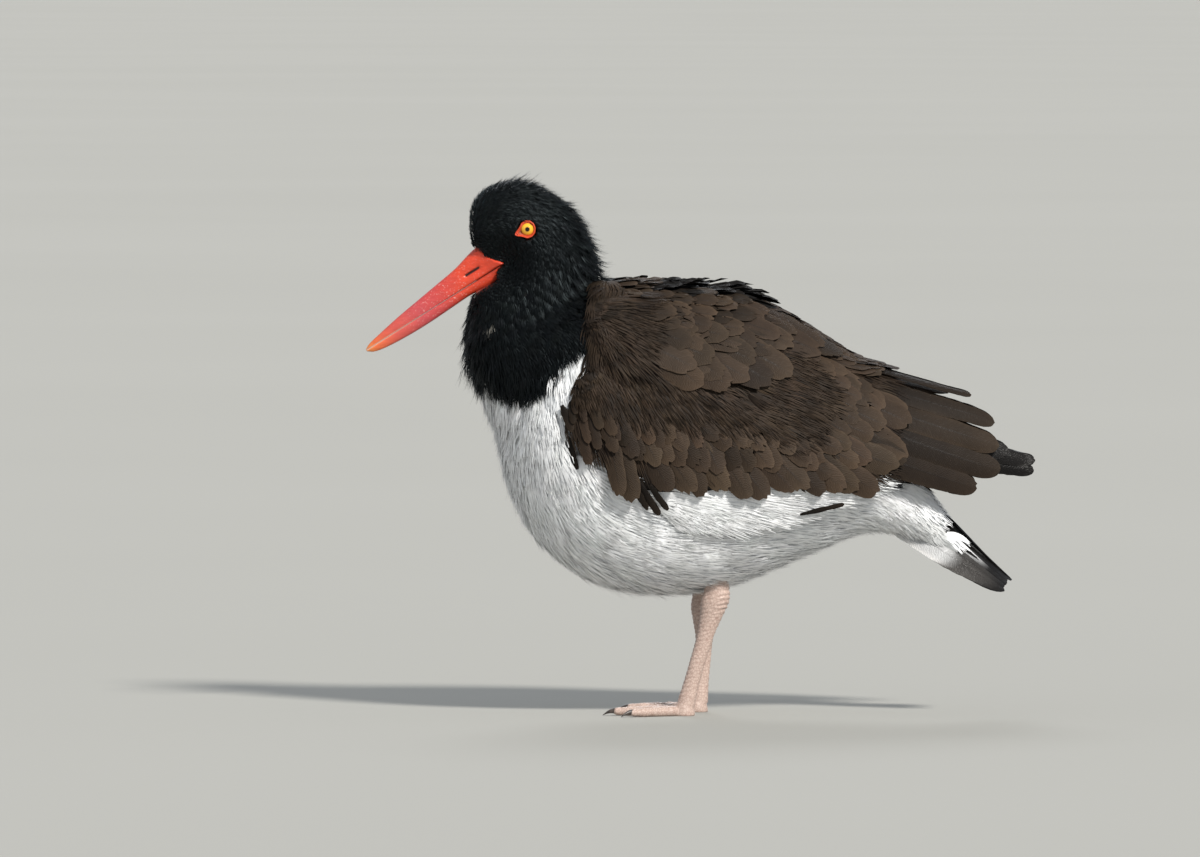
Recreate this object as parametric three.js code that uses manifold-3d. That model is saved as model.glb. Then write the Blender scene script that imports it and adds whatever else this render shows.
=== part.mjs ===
// A standing oystercatcher, life size, in millimetres: +Z up, the bird faces -X and its left side is -Y.
// The origin is on the floor, under the middle of the bill-to-wingtip length and on the plane of symmetry.
// The outline is the plumage's own: head, neck and trunk are one smooth form parted by thin cuts.

import * as THREE from "three";
import { mergeVertices } from "three/addons/utils/BufferGeometryUtils.js";
import Module from "manifold-3d";

const wasm = await Module();
wasm.setup();

const GAP = 0.3;
const SLAB_GAP = 0.9;
const FORM_POWER = 2.2;
const RING_SIDES = 16;
const FORM_STEPS = 29;

// Stations of the body form from bill root to tail root: belly-side x and z, back-side x and z, half width.
// The first nine fan round the throat, the next ones fan round the nape.
const BODY_STATIONS = [
  [-115, 230, -120, 250, 4.5],
  [-119, 228, -124, 262, 8],
  [-121.5, 227, -121.5, 278, 12],
  [-123, 224, -110, 286.5, 15.5],
  [-124, 221, -95.5, 288, 18.5],
  [-125, 217, -79.5, 281.5, 20.8],
  [-125.5, 212, -66.5, 270.5, 23.5],
  [-126.5, 203, -58, 254, 26],
  [-126, 192, -52.5, 237.5, 30],
  [-123, 181.5, -47, 233.5, 36],
  [-116.5, 168.5, -41.5, 233.5, 43],
  [-108.5, 149, -35, 233, 50],
  [-103, 124, -27.5, 232.5, 56],
  [-90, 98, -19, 232, 60],
  [-67, 77, -8, 231, 62],
  [-40, 68, 5, 229, 63],
  [-10, 66.5, 22, 225, 62],
  [19.5, 72, 46, 212, 58],
  [46.5, 83, 70, 190, 50],
  [70.5, 92, 89, 166, 40],
  [91.5, 100, 105, 145, 29],
  [108.5, 98.5, 119, 127, 20],
  [124, 92, 130, 112, 14],
  [139, 84, 141, 97, 8],
];

// The face narrows towards the bill: its half width is cut by this share around a line of the side view.
const FACE_PINCH = {
  line: new THREE.Line3(new THREE.Vector3(-125, 0, 240), new THREE.Vector3(-108, 0, 244)),
  reach: 14,
  depth: 0.55,
};

// The closed wings' outer surface is a roof over the back: x, ridge height, lower edge height, half width.
const ROOF_STATIONS = [
  [-76, 228, 152, 57],
  [-52, 234, 130, 63],
  [-26, 233.5, 120, 66.5],
  [0, 231, 120.5, 68],
  [25, 227, 122, 67],
  [53, 213, 122, 63],
  [83, 194, 121.5, 55],
  [108, 185.5, 121, 46],
  [130, 179, 121, 36],
  [152, 172, 122, 26],
  [166, 160, 128, 19],
  [180, 141, 129, 11],
];
const ROOF_POWER = 2.3;

// Where the shoulder feathers (scapulars) end over the wing: x and height.
const SCAPULAR_EDGE = [
  [-62, 186],
  [-29, 181],
  [-18, 178],
  [4, 177.5],
  [18, 177.5],
  [30, 182],
  [43, 187],
  [58, 191],
  [84, 193],
];
const SCAPULARS = { from: -58, to: 83, topShare: 0.14, rim: 0.4, puff: 2.6, depth: 6 };
const COVERTS = { from: -73, to: 98, depth: 7, cornerX: -52, cornerLow: 22, cornerHigh: 12 };

// White tips of the inner flight feathers (secondaries), which show under the coverts.
const SECONDARIES = { from: -24, to: 88, rim: 2, drop: 17, thick: 2.2, sunk: 1, slant: 5 };

// Bill, measured along the line of the mouth from its corner, and up or down from that line.
const GAPE = new THREE.Vector3(-105.3, 0, 243.5);
const BILL_PITCH = THREE.MathUtils.degToRad(32.3);
const BILL_FORWARD = new THREE.Vector3(-Math.cos(BILL_PITCH), 0, -Math.sin(BILL_PITCH));
const BILL_RISE = new THREE.Vector3(-Math.sin(BILL_PITCH), 0, Math.cos(BILL_PITCH));
const BILL_LENGTH = 88;
const BILL_ROOT = 4;
const CULMEN = [
  [BILL_ROOT, 15.4],
  [10, 15],
  [24, 11.6],
  [37, 9.7],
  [51, 7.8],
  [64, 6],
  [78, 3.5],
  [BILL_LENGTH, 0.9],
];
const UNDER_BILL = [
  [BILL_ROOT, 6.5],
  [10, 6.6],
  [24, 5],
  [37, 5.3],
  [51, 5.7],
  [64, 5.5],
  [78, 4.6],
  [BILL_LENGTH, 1],
];
const BILL_HALF_WIDTH = [
  [BILL_ROOT, 8.8],
  [10, 6.8],
  [24, 4.7],
  [37, 3.8],
  [51, 3.4],
  [64, 3],
  [78, 2.3],
  [BILL_LENGTH, 0.9],
];

// Where the face feathers end round the bill's bare base, in the same measures: along and up.
const BARE_FACE = [
  [8, 14.9],
  [6.2, 8.4],
  [3.2, 4],
  [0, 0],
  [4.3, -0.8],
  [6.9, -2.3],
  [7.9, -5.6],
  [22, -4.2],
  [24, 11],
];
const FACE_HALF_WIDTH = 30;
const BILL_STEPS = 11;
const BILL_SIDES = 8;

const EYE = { x: -92.6, y: 15, z: 262.2, radius: 4.3 };
const EYE_RING = { y: 18.1, inner: 3.65, outer: 4.7, bevel: 0.3, thick: 1.3, socket: 5.1, depth: 8 };

// One leg each: x, z of the middle line, then half depth (fore and aft) and half width.
const LEFT_LEG = {
  y: -19,
  line: [
    [-3, 92, 12, 11],
    [6, 80, 8, 7],
    [9.5, 70, 6.6, 5.4],
    [8.6, 62, 7.6, 5.6],
    [6.6, 54, 6.2, 4.6],
    [3.6, 44, 4.7, 3.5],
    [-0.6, 30, 4.3, 3.2],
    [-4.6, 16, 4.4, 3.4],
    [-7.2, 6.5, 5, 4.4],
  ],
};
const RIGHT_LEG = {
  y: 19,
  line: [
    [-8, 92, 12, 11],
    [0, 78, 8, 7],
    [3, 66, 6.4, 5.4],
    [3.4, 57, 7.6, 5.6],
    [3.2, 49, 6.2, 4.6],
    [3, 40, 4.7, 3.5],
    [2.2, 28, 4.3, 3.2],
    [1, 16, 4.4, 3.4],
    [0, 6.5, 5, 4.4],
  ],
};
const LEG_SIDES = 9;
const LEG_STEPS = 13;
const THIGH_CUT_Z = 79;
const ANKLE_CUT_Z = 68;
const FOOT_CUT_Z = 9;
const TOES = [
  { name: "inner", turn: -29, length: 18, radius: 2.9 },
  { name: "middle", turn: 0, length: 26, radius: 3.1 },
  { name: "outer", turn: 29, length: 21, radius: 2.9 },
];
const TOE_SIDES = 8;
const TOE_HEIGHT = 2.3;
const TOE_ROOT = 12.5;
const TOE_TAPER = 0.72;
const KNUCKLE = { swell: 0.09, count: 3 };
const CLAW = { length: 5.5, root: 1.5, tip: 0.4, rootHeight: 1.6, tipHeight: 0.4 };
const FOOT_PAD = { depth: 6.2, width: 6, height: 7.5, dome: 9.5, steps: 4 };

// Blades of the closed wing behind the coverts, from the outermost layer in: root, tip and half width
// in the side view, and the layer's depth under the roof.
const BLADES = [
  { name: "tertial_1", root: [101, 131], tip: [152, 124], half: 7.5, layer: 0 },
  { name: "tertial_2", root: [101, 143], tip: [164, 134], half: 9, layer: 1 },
  { name: "tertial_3", root: [101, 153], tip: [161, 147], half: 9, layer: 2 },
  { name: "tertial_4", root: [101, 165], tip: [161.5, 158.5], half: 9, layer: 3 },
  { name: "tertial_5", root: [101, 176], tip: [148, 173], half: 5, layer: 4 },
  { name: "primary_1", root: [101, 141], tip: [180.8, 137.5], half: 6, layer: 5 },
  { name: "primary_2", root: [101, 134], tip: [180.2, 132], half: 5, layer: 6 },
];
const BLADE_THICKNESS = 0.9;
const BLADE_STEPS = 7;
const LAYER_PITCH = 1.25;

const TAIL_TOP = [new THREE.Vector3(118, 0, 121), new THREE.Vector3(171.5, 0, 70.5)];
const TAIL_LOW = [new THREE.Vector3(108, 0, 101), new THREE.Vector3(161.5, 0, 69.5)];
const TAIL_HALF_WIDTH = [9, 19];
const TAIL_THICKNESS = 1.6;
const TAIL_LENGTH = 70;
const TAIL_ARCH = 1.7;
const TAIL_LIFT = new THREE.Vector3(0.6, 0, 0.8);

const BLACK = 0x141517;
const WHITE = 0xe6e8ea;
const BROWN = 0x55463a;
const DARK_BROWN = 0x2c2521;
const FLESH = 0xd9ada0;
const ORANGE = 0xe2431f;
const YELLOW = 0xe0a020;

function finish(colour, roughness = 0.85) {
  return new THREE.MeshStandardMaterial({ color: colour, roughness, metalness: 0 });
}

// A value read off a list of [position, value] pairs with smooth tangents between them.
function along(pairs, at, column = 1) {
  const last = pairs.length - 1;
  if (at <= pairs[0][0]) return pairs[0][column];
  if (at >= pairs[last][0]) return pairs[last][column];
  const i = pairs.findIndex((pair) => pair[0] > at) - 1;
  const slope = (k) => {
    const a = pairs[Math.max(k - 1, 0)];
    const b = pairs[Math.min(k + 1, last)];
    return (b[column] - a[column]) / (b[0] - a[0]);
  };
  const span = pairs[i + 1][0] - pairs[i][0];
  const s = (at - pairs[i][0]) / span;
  const h = [2 * s ** 3 - 3 * s ** 2 + 1, s ** 3 - 2 * s ** 2 + s, 3 * s ** 2 - 2 * s ** 3, s ** 3 - s ** 2];
  return (
    h[0] * pairs[i][column] +
    h[1] * span * slope(i) +
    h[2] * pairs[i + 1][column] +
    h[3] * span * slope(i + 1)
  );
}

function power(value, exponent) {
  return Math.sign(value) * Math.abs(value) ** exponent;
}

// A closed solid from rings of equal length: walls between them and a fan over each end.
function ringSolid(rings) {
  const sides = rings[0].length;
  const points = rings.flat();
  const faces = [];
  for (let r = 0; r + 1 < rings.length; r++) {
    for (let k = 0; k < sides; k++) {
      const a = r * sides + k;
      const b = r * sides + ((k + 1) % sides);
      faces.push(a, b, a + sides, b, b + sides, a + sides);
    }
  }
  const ends = [
    { start: 0, turn: false },
    { start: (rings.length - 1) * sides, turn: true },
  ];
  for (const end of ends) {
    const middle = new THREE.Vector3();
    for (let k = 0; k < sides; k++) middle.addScaledVector(points[end.start + k], 1 / sides);
    const hub = points.push(middle) - 1;
    for (let k = 0; k < sides; k++) {
      const a = end.start + k;
      const b = end.start + ((k + 1) % sides);
      if (end.turn) faces.push(a, b, hub);
      else faces.push(b, a, hub);
    }
  }
  return solid(points, faces);
}

function solid(points, faces) {
  const geometry = new THREE.BufferGeometry().setFromPoints(points);
  geometry.setIndex(faces);
  const merged = mergeVertices(geometry, 1e-4);
  const make = (triangles) =>
    new wasm.Manifold(
      new wasm.Mesh({
        numProp: 3,
        vertProperties: merged.attributes.position.array,
        triVerts: triangles,
      }),
    );
  const triangles = new Uint32Array(merged.index.array);
  const made = make(triangles);
  if (made.volume() > 0) return made;
  for (let i = 0; i < triangles.length; i += 3) {
    [triangles[i], triangles[i + 1]] = [triangles[i + 1], triangles[i]];
  }
  return make(triangles);
}

const root = new THREE.Group();

function addNode(name, body, material) {
  const parts = body.decompose();
  const largest = parts.reduce((a, b) => (a.volume() > b.volume() ? a : b));
  const mesh = largest.getMesh();
  const geometry = new THREE.BufferGeometry();
  geometry.setAttribute("position", new THREE.BufferAttribute(Float32Array.from(mesh.vertProperties), 3));
  geometry.setIndex(Array.from(mesh.triVerts));
  const node = new THREE.Mesh(geometry, material);
  node.name = name;
  root.add(node);
}

// Two plane cuts a gap apart, through two points of the side view; [front or upper part, the other part].
function parted(body, from, to) {
  const normal = new THREE.Vector2(from[1] - to[1], to[0] - from[0]).normalize();
  const offset = normal.x * from[0] + normal.y * from[1];
  const direction = [normal.x, 0, normal.y];
  const back = [-normal.x, 0, -normal.y];
  return [
    body.trimByPlane(direction, offset + GAP / 2),
    body.trimByPlane(back, -offset + GAP / 2),
  ];
}

// The body form: a superellipse between the belly line and the back line at each station.
const bellyLine = new THREE.CatmullRomCurve3(
  BODY_STATIONS.map((s) => new THREE.Vector3(s[0], s[4], s[1])),
  false,
  "catmullrom",
);
const backLine = new THREE.CatmullRomCurve3(
  BODY_STATIONS.map((s) => new THREE.Vector3(s[2], s[4], s[3])),
  false,
  "catmullrom",
);

function faceShare(point) {
  const nearest = FACE_PINCH.line.closestPointToPoint(point, true, new THREE.Vector3());
  const distance = nearest.distanceTo(point);
  return 1 - FACE_PINCH.depth * Math.exp(-((distance / FACE_PINCH.reach) ** 2));
}

function bodyForm() {
  const rings = [];
  for (let i = 0; i <= FORM_STEPS; i++) {
    const belly = bellyLine.getPoint(i / FORM_STEPS);
    const back = backLine.getPoint(i / FORM_STEPS);
    const ring = [];
    for (let k = 0; k < RING_SIDES; k++) {
      const angle = (k / RING_SIDES) * 2 * Math.PI;
      const rise = power(Math.cos(angle), 2 / FORM_POWER);
      const side = power(Math.sin(angle), 2 / FORM_POWER);
      const point = new THREE.Vector3(
        (belly.x + back.x) / 2 + ((back.x - belly.x) / 2) * rise,
        0,
        (belly.z + back.z) / 2 + ((back.z - belly.z) / 2) * rise,
      );
      point.y = belly.y * side * faceShare(point);
      ring.push(point);
    }
    rings.push(ring);
  }
  return ringSolid(rings);
}

// A point of the wing roof at x and height z, pushed out by a distance; side is -1 for left, 1 for right.
function roofPoint(x, z, out, side) {
  const at = (px, turn) => {
    const ridge = along(ROOF_STATIONS, px, 1);
    const edge = along(ROOF_STATIONS, px, 2);
    const half = along(ROOF_STATIONS, px, 3);
    return new THREE.Vector3(
      px,
      half * power(Math.sin(turn), 2 / ROOF_POWER),
      edge + (ridge - edge) * power(Math.cos(turn), 2 / ROOF_POWER),
    );
  };
  const ridge = along(ROOF_STATIONS, x, 1);
  const edge = along(ROOF_STATIONS, x, 2);
  const share = THREE.MathUtils.clamp((z - edge) / (ridge - edge), 0, 0.995);
  const turn = Math.acos(share ** (ROOF_POWER / 2));
  const step = 0.02;
  const here = at(x, turn);
  const alongX = at(x + 1, turn).sub(at(x - 1, turn));
  const down = at(x, Math.min(turn + step, Math.PI / 2)).sub(at(x, Math.max(turn - step, 0.01)));
  const normal = new THREE.Vector3().crossVectors(down, alongX).normalize();
  if (normal.y < 0) normal.negate();
  here.addScaledVector(normal, out);
  if (z < edge) here.z = z;
  here.y = Math.max(here.y, GAP / 2) * side;
  return here;
}

// A slab on the roof: place(s, w) gives x and z for s along and w across, both from 0 to 1.
function roofSlab(place, steps, across, outer, inner, side) {
  const rings = [];
  for (let i = 0; i <= steps; i++) {
    const ring = [];
    for (let k = 0; k <= across; k++) {
      const [x, z] = place(i / steps, k / across);
      ring.push(roofPoint(x, z, outer(i / steps, k / across), side));
    }
    for (let k = across; k >= 0; k--) {
      const [x, z] = place(i / steps, k / across);
      ring.push(roofPoint(x, z, inner(i / steps, k / across), side));
    }
    rings.push(ring);
  }
  return ringSolid(rings);
}

// The brown coverts from the wrist to the flight feathers, with a round corner at the wrist.
function wingCoverts(side, grow = 0) {
  const place = (s, w) => {
    const x = THREE.MathUtils.lerp(COVERTS.from - grow, COVERTS.to + grow, s);
    const corner = (Math.max(0, COVERTS.cornerX - x) / (COVERTS.cornerX - COVERTS.from)) ** 2;
    const low = along(ROOF_STATIONS, x, 2) + COVERTS.cornerLow * corner - grow;
    const high = along(SCAPULAR_EDGE, x) - GAP - COVERTS.cornerHigh * corner + grow;
    return [x, THREE.MathUtils.lerp(high, low, w)];
  };
  return roofSlab(place, 15, 3, () => grow, () => -COVERTS.depth - grow, side);
}

function scapulars(side, grow = 0) {
  const { from, to, topShare, rim, puff, depth } = SCAPULARS;
  const place = (s, w) => {
    const x = THREE.MathUtils.lerp(from - grow, to + grow, s);
    const ridge = along(ROOF_STATIONS, x, 1);
    const top = THREE.MathUtils.lerp(ridge, along(SCAPULAR_EDGE, x), topShare) + grow;
    return [x, THREE.MathUtils.lerp(top, along(SCAPULAR_EDGE, x) - grow, w)];
  };
  const outer = (s, w) => grow + rim + puff * w * Math.sqrt(Math.sin(Math.PI * Math.min(1, s * 1.1)));
  return roofSlab(place, 12, 3, outer, () => -depth - grow, side);
}

function secondaries(side, grow = 0) {
  const { from, to, rim, drop, thick, sunk, slant } = SECONDARIES;
  const steps = 12;
  const across = 2;
  const rings = [];
  for (let i = 0; i <= steps; i++) {
    const x = THREE.MathUtils.lerp(from - grow, to + grow, i / steps);
    const edge = along(ROOF_STATIONS, x, 2);
    const low = edge - rim - drop * Math.sin(Math.PI * (0.12 + (0.8 * i) / steps)) - grow;
    const half = along(ROOF_STATIONS, x, 3) - sunk;
    const face = (out, w) =>
      new THREE.Vector3(x, side * (half + out - slant * w), THREE.MathUtils.lerp(edge - GAP + grow, low, w));
    const ring = [];
    for (let n = 0; n <= across; n++) ring.push(face(grow, n / across));
    for (let n = across; n >= 0; n--) ring.push(face(-thick - grow, n / across));
    rings.push(ring);
  }
  return ringSolid(rings);
}

// One long feather of the closed wing: a thin strip that narrows to a round tip.
function blade(spec, side, grow = 0) {
  const from = new THREE.Vector2(...spec.root);
  const to = new THREE.Vector2(...spec.tip);
  const direction = to.clone().sub(from).normalize();
  const place = (s, w) => {
    const taper = Math.sin(Math.PI * Math.min(1, 0.42 + 0.58 * s)) ** 0.45;
    const half = Math.max(spec.half * taper, 0.8);
    const middle = from.clone().lerp(to, s);
    return [
      middle.x + direction.y * half * (1 - 2 * w),
      middle.y + direction.x * half * (1 - 2 * w),
    ];
  };
  const top = -spec.layer * LAYER_PITCH;
  return roofSlab(place, BLADE_STEPS, 2, () => top + grow, () => top - BLADE_THICKNESS - grow, side);
}

// The folded tail: a thin arch whose middle feathers ride high and whose outer ones hang lower.
function tail(grow = 0) {
  const steps = 5;
  const across = 8;
  const rings = [];
  for (let i = 0; i <= steps; i++) {
    const s = THREE.MathUtils.lerp(-grow / TAIL_LENGTH, 1, i / steps);
    const top = TAIL_TOP[0].clone().lerp(TAIL_TOP[1], s);
    const low = TAIL_LOW[0].clone().lerp(TAIL_LOW[1], s);
    const half = THREE.MathUtils.lerp(TAIL_HALF_WIDTH[0], TAIL_HALF_WIDTH[1], s);
    const face = (out, a) => {
      const fall = Math.abs(a) ** TAIL_ARCH;
      const point = top.clone().lerp(low, fall);
      point.y = a * (half + out);
      return point.addScaledVector(TAIL_LIFT, out * (1 - fall));
    };
    const ring = [];
    for (let n = 0; n <= across; n++) ring.push(face(grow, (2 * n) / across - 1));
    for (let n = across; n >= 0; n--) ring.push(face(-TAIL_THICKNESS - grow, (2 * n) / across - 1));
    rings.push(ring);
  }
  return ringSolid(rings);
}

// Bill half: sections across the mouth line, a half oval above or below it.
function billHalf(profile, up, grow = 0) {
  const mouth = GAP / 2 - 1.5 * grow;
  const rings = [];
  for (let i = 0; i <= BILL_STEPS; i++) {
    const s = THREE.MathUtils.lerp(BILL_ROOT - grow, BILL_LENGTH, (i / BILL_STEPS) ** 0.85);
    const height = along(profile, s) + grow;
    const half = along(BILL_HALF_WIDTH, s) + grow;
    const ring = [];
    for (let k = 0; k <= BILL_SIDES; k++) {
      const angle = (k / BILL_SIDES) * Math.PI;
      const lift = mouth + (height - mouth) * power(Math.sin(angle), 0.85);
      ring.push(
        GAPE.clone()
          .addScaledVector(BILL_FORWARD, s)
          .addScaledVector(BILL_RISE, up * lift)
          .add(new THREE.Vector3(0, half * power(Math.cos(angle), 0.75), 0)),
      );
    }
    rings.push(ring);
  }
  return ringSolid(rings);
}

// The block in front of the face feathers, right across the head: only the bill stands in it.
function bareFace() {
  const rings = [-1, 1].map((side) =>
    BARE_FACE.map(([s, up]) =>
      GAPE.clone()
        .addScaledVector(BILL_FORWARD, s)
        .addScaledVector(BILL_RISE, up)
        .add(new THREE.Vector3(0, side * FACE_HALF_WIDTH, 0)),
    ),
  );
  return ringSolid(rings);
}

function eyeBall(side, grow = 0) {
  const ball = new THREE.SphereGeometry(EYE.radius + grow, 12, 8);
  ball.translate(EYE.x, side * EYE.y, EYE.z);
  return fromGeometry(ball);
}

function eyeRing(side) {
  const { y, inner, outer, bevel, thick } = EYE_RING;
  const profile = [
    new THREE.Vector2(inner, -thick / 2),
    new THREE.Vector2(outer, -thick / 2),
    new THREE.Vector2(outer - bevel, thick / 2),
    new THREE.Vector2(inner, thick / 2),
    new THREE.Vector2(inner, -thick / 2),
  ];
  const ring = new THREE.LatheGeometry(profile, 14);
  if (side < 0) ring.rotateX(Math.PI);
  ring.translate(EYE.x, side * y, EYE.z);
  return fromGeometry(ring);
}

function eyeSocket(side) {
  const { socket, depth, y, thick } = EYE_RING;
  const hole = new THREE.CylinderGeometry(socket, socket, depth, 16);
  hole.translate(EYE.x, side * (y + depth / 2 - thick), EYE.z);
  return fromGeometry(hole);
}

function fromGeometry(geometry) {
  geometry.deleteAttribute("normal");
  geometry.deleteAttribute("uv");
  const merged = mergeVertices(geometry, 1e-4);
  const points = [];
  const position = merged.attributes.position;
  for (let i = 0; i < position.count; i++) {
    points.push(new THREE.Vector3().fromBufferAttribute(position, i));
  }
  const faces = [];
  const index = merged.index.array;
  for (let i = 0; i < index.length; i += 3) {
    const corner = [index[i], index[i + 1], index[i + 2]];
    if (new Set(corner).size === 3) faces.push(...corner);
  }
  return solid(points, faces);
}

// A leg's form: ovals along its middle line, level with the floor.
function legForm(leg, grow = 0) {
  const fromTop = leg.line.map((row) => [-row[1], row[0], row[2], row[3]]);
  const rings = [];
  for (let i = 0; i <= LEG_STEPS; i++) {
    const z = THREE.MathUtils.lerp(leg.line[0][1], leg.line[leg.line.length - 1][1], i / LEG_STEPS);
    const ring = [];
    for (let k = 0; k < LEG_SIDES; k++) {
      const angle = (k / LEG_SIDES) * 2 * Math.PI;
      ring.push(
        new THREE.Vector3(
          along(fromTop, -z, 1) + (along(fromTop, -z, 2) + grow) * Math.cos(angle),
          leg.y + (along(fromTop, -z, 3) + grow) * Math.sin(angle),
          z,
        ),
      );
    }
    rings.push(ring);
  }
  return ringSolid(rings);
}

// A shape that rests: every point under the floor is brought up to it, which leaves a small flat.
function onFloor(point) {
  point.z = Math.max(point.z, 0);
  return point;
}

function footPad(x, y) {
  const rings = [];
  for (let i = 0; i <= FOOT_PAD.steps; i++) {
    const z = (i / FOOT_PAD.steps) * FOOT_PAD.height;
    const swell = Math.sqrt(1 - (z / FOOT_PAD.dome) ** 2);
    const ring = [];
    for (let k = 0; k < LEG_SIDES; k++) {
      const angle = (k / LEG_SIDES) * 2 * Math.PI;
      ring.push(
        new THREE.Vector3(
          x + FOOT_PAD.depth * swell * Math.cos(angle),
          y + FOOT_PAD.width * swell * Math.sin(angle),
          z,
        ),
      );
    }
    rings.push(ring);
  }
  return ringSolid(rings);
}

// A length of toe or claw that leaves the foot's middle at a turn. Its spec gives the distances, radii
// and heights at its two ends, and how many knuckles swell along it.
function toeForm(foot, turn, spec) {
  const { from, to, radii, heights, knuckles } = spec;
  const heading = new THREE.Vector3(-Math.cos(turn), Math.sin(turn), 0);
  const across = new THREE.Vector3(heading.y, -heading.x, 0);
  const steps = knuckles > 0 ? 2 * knuckles : 2;
  const rings = [];
  for (let i = 0; i <= steps; i++) {
    const s = i / steps;
    const swell = knuckles > 0 ? 1 + KNUCKLE.swell * Math.cos(s * Math.PI * 2 * knuckles) : 1;
    const radius = THREE.MathUtils.lerp(radii[0], radii[1], s) * swell;
    const middle = new THREE.Vector3(foot.x, foot.y, THREE.MathUtils.lerp(heights[0], heights[1], s));
    middle.addScaledVector(heading, THREE.MathUtils.lerp(from, to, s));
    const ring = [];
    for (let k = 0; k < TOE_SIDES; k++) {
      const angle = ((k + 0.5) / TOE_SIDES) * 2 * Math.PI;
      ring.push(
        onFloor(
          middle
            .clone()
            .addScaledVector(across, radius * Math.cos(angle))
            .add(new THREE.Vector3(0, 0, radius * Math.sin(angle))),
        ),
      );
    }
    rings.push(ring);
  }
  return ringSolid(rings);
}

const sides = [
  { name: "left", sign: -1, leg: LEFT_LEG },
  { name: "right", sign: 1, leg: RIGHT_LEG },
];

// The body with room cut in it for all that lies on it or grows from it.
function bodyWithRoom() {
  let form = bodyForm();
  for (const side of sides) {
    form = form.subtract(wingCoverts(side.sign, SLAB_GAP));
    form = form.subtract(scapulars(side.sign, SLAB_GAP));
    form = form.subtract(secondaries(side.sign, SLAB_GAP));
    form = form.subtract(legForm(side.leg, GAP));
    form = form.subtract(eyeBall(side.sign, GAP));
    form = form.subtract(eyeSocket(side.sign));
    for (const spec of BLADES) form = form.subtract(blade(spec, side.sign, SLAB_GAP));
  }
  form = form.subtract(tail(SLAB_GAP)).subtract(bareFace());
  return form.subtract(billHalf(CULMEN, 1, GAP)).subtract(billHalf(UNDER_BILL, -1, GAP));
}

function addBody() {
  const [head, belowHead] = parted(bodyWithRoom(), [-126, 207], [-62, 262]);
  const [neck, belowNeck] = parted(belowHead, [-118, 172], [-50, 234]);
  const [breast, hind] = parted(belowNeck, [-90, 90], [-28, 240]);
  const [trunk, rump] = parted(hind, [82, 80], [92, 200]);
  addNode("head", head, finish(BLACK));
  addNode("neck", neck, finish(BLACK));
  addNode("breast", breast, finish(WHITE));
  addNode("trunk", trunk, finish(WHITE));
  addNode("rump", rump, finish(WHITE));
  addNode("bill_upper", billHalf(CULMEN, 1), finish(ORANGE, 0.4));
  addNode("bill_lower", billHalf(UNDER_BILL, -1), finish(ORANGE, 0.4));
  addNode("tail", tail(), finish(DARK_BROWN));
}

function addEye(side) {
  addNode(`eye_${side.name}`, eyeBall(side.sign), finish(YELLOW, 0.1));
  addNode(`eye_ring_${side.name}`, eyeRing(side.sign), finish(ORANGE, 0.5));
}

function addWing(side) {
  const upper = scapulars(side.sign);
  const lower = secondaries(side.sign).subtract(wingCoverts(side.sign, SLAB_GAP));
  let coverts = wingCoverts(side.sign).subtract(scapulars(side.sign, SLAB_GAP));
  for (const spec of BLADES) coverts = coverts.subtract(blade(spec, side.sign, GAP));
  addNode(`scapulars_${side.name}`, upper, finish(BROWN));
  addNode(`wing_coverts_${side.name}`, coverts, finish(BROWN));
  addNode(`secondaries_${side.name}`, lower, finish(WHITE));
  for (const spec of BLADES) {
    const colour = spec.name.startsWith("primary") ? BLACK : BROWN;
    addNode(`${spec.name}_${side.name}`, blade(spec, side.sign), finish(colour));
  }
}

// The leg is one form parted by level cuts, and each toe grows from the foot's pad.
function addLeg(side) {
  const level = (z) => [[0, z], [-1, z]];
  const [belowThigh, thigh] = parted(legForm(side.leg), ...level(THIGH_CUT_Z));
  const [belowShank, shank] = parted(belowThigh, ...level(ANKLE_CUT_Z));
  const [, tarsus] = parted(belowShank, ...level(FOOT_CUT_Z));
  addNode(`thigh_${side.name}`, thigh, finish(WHITE));
  addNode(`shank_${side.name}`, shank, finish(FLESH, 0.6));
  addNode(`tarsus_${side.name}`, tarsus, finish(FLESH, 0.6));

  const ankle = side.leg.line[side.leg.line.length - 1];
  const middle = { x: ankle[0] - 1, y: side.leg.y };
  let foot = footPad(middle.x, middle.y);
  for (const toe of TOES) {
    const turn = THREE.MathUtils.degToRad(toe.turn) * side.sign;
    const end = TOE_ROOT + toe.length;
    const heights = [TOE_HEIGHT, TOE_HEIGHT];
    const stub = { from: 0, to: TOE_ROOT, radii: [toe.radius, toe.radius], heights, knuckles: 0 };
    const bone = {
      from: TOE_ROOT + GAP,
      to: end,
      radii: [toe.radius, toe.radius * TOE_TAPER],
      heights,
      knuckles: KNUCKLE.count,
    };
    const claw = {
      from: end + GAP,
      to: end + CLAW.length,
      radii: [CLAW.root, CLAW.tip],
      heights: [CLAW.rootHeight, CLAW.tipHeight],
      knuckles: 0,
    };
    foot = foot.add(toeForm(middle, turn, stub));
    addNode(`toe_${toe.name}_${side.name}`, toeForm(middle, turn, bone), finish(FLESH, 0.6));
    addNode(`claw_${toe.name}_${side.name}`, toeForm(middle, turn, claw), finish(BLACK, 0.4));
  }
  addNode(`foot_${side.name}`, foot, finish(FLESH, 0.6));
}

addBody();
for (const side of sides) {
  addEye(side);
  addWing(side);
  addLeg(side);
}

export default root;
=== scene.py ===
"""A standing oystercatcher, life size: skin, feathers, bill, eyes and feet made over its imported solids."""

import math

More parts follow.
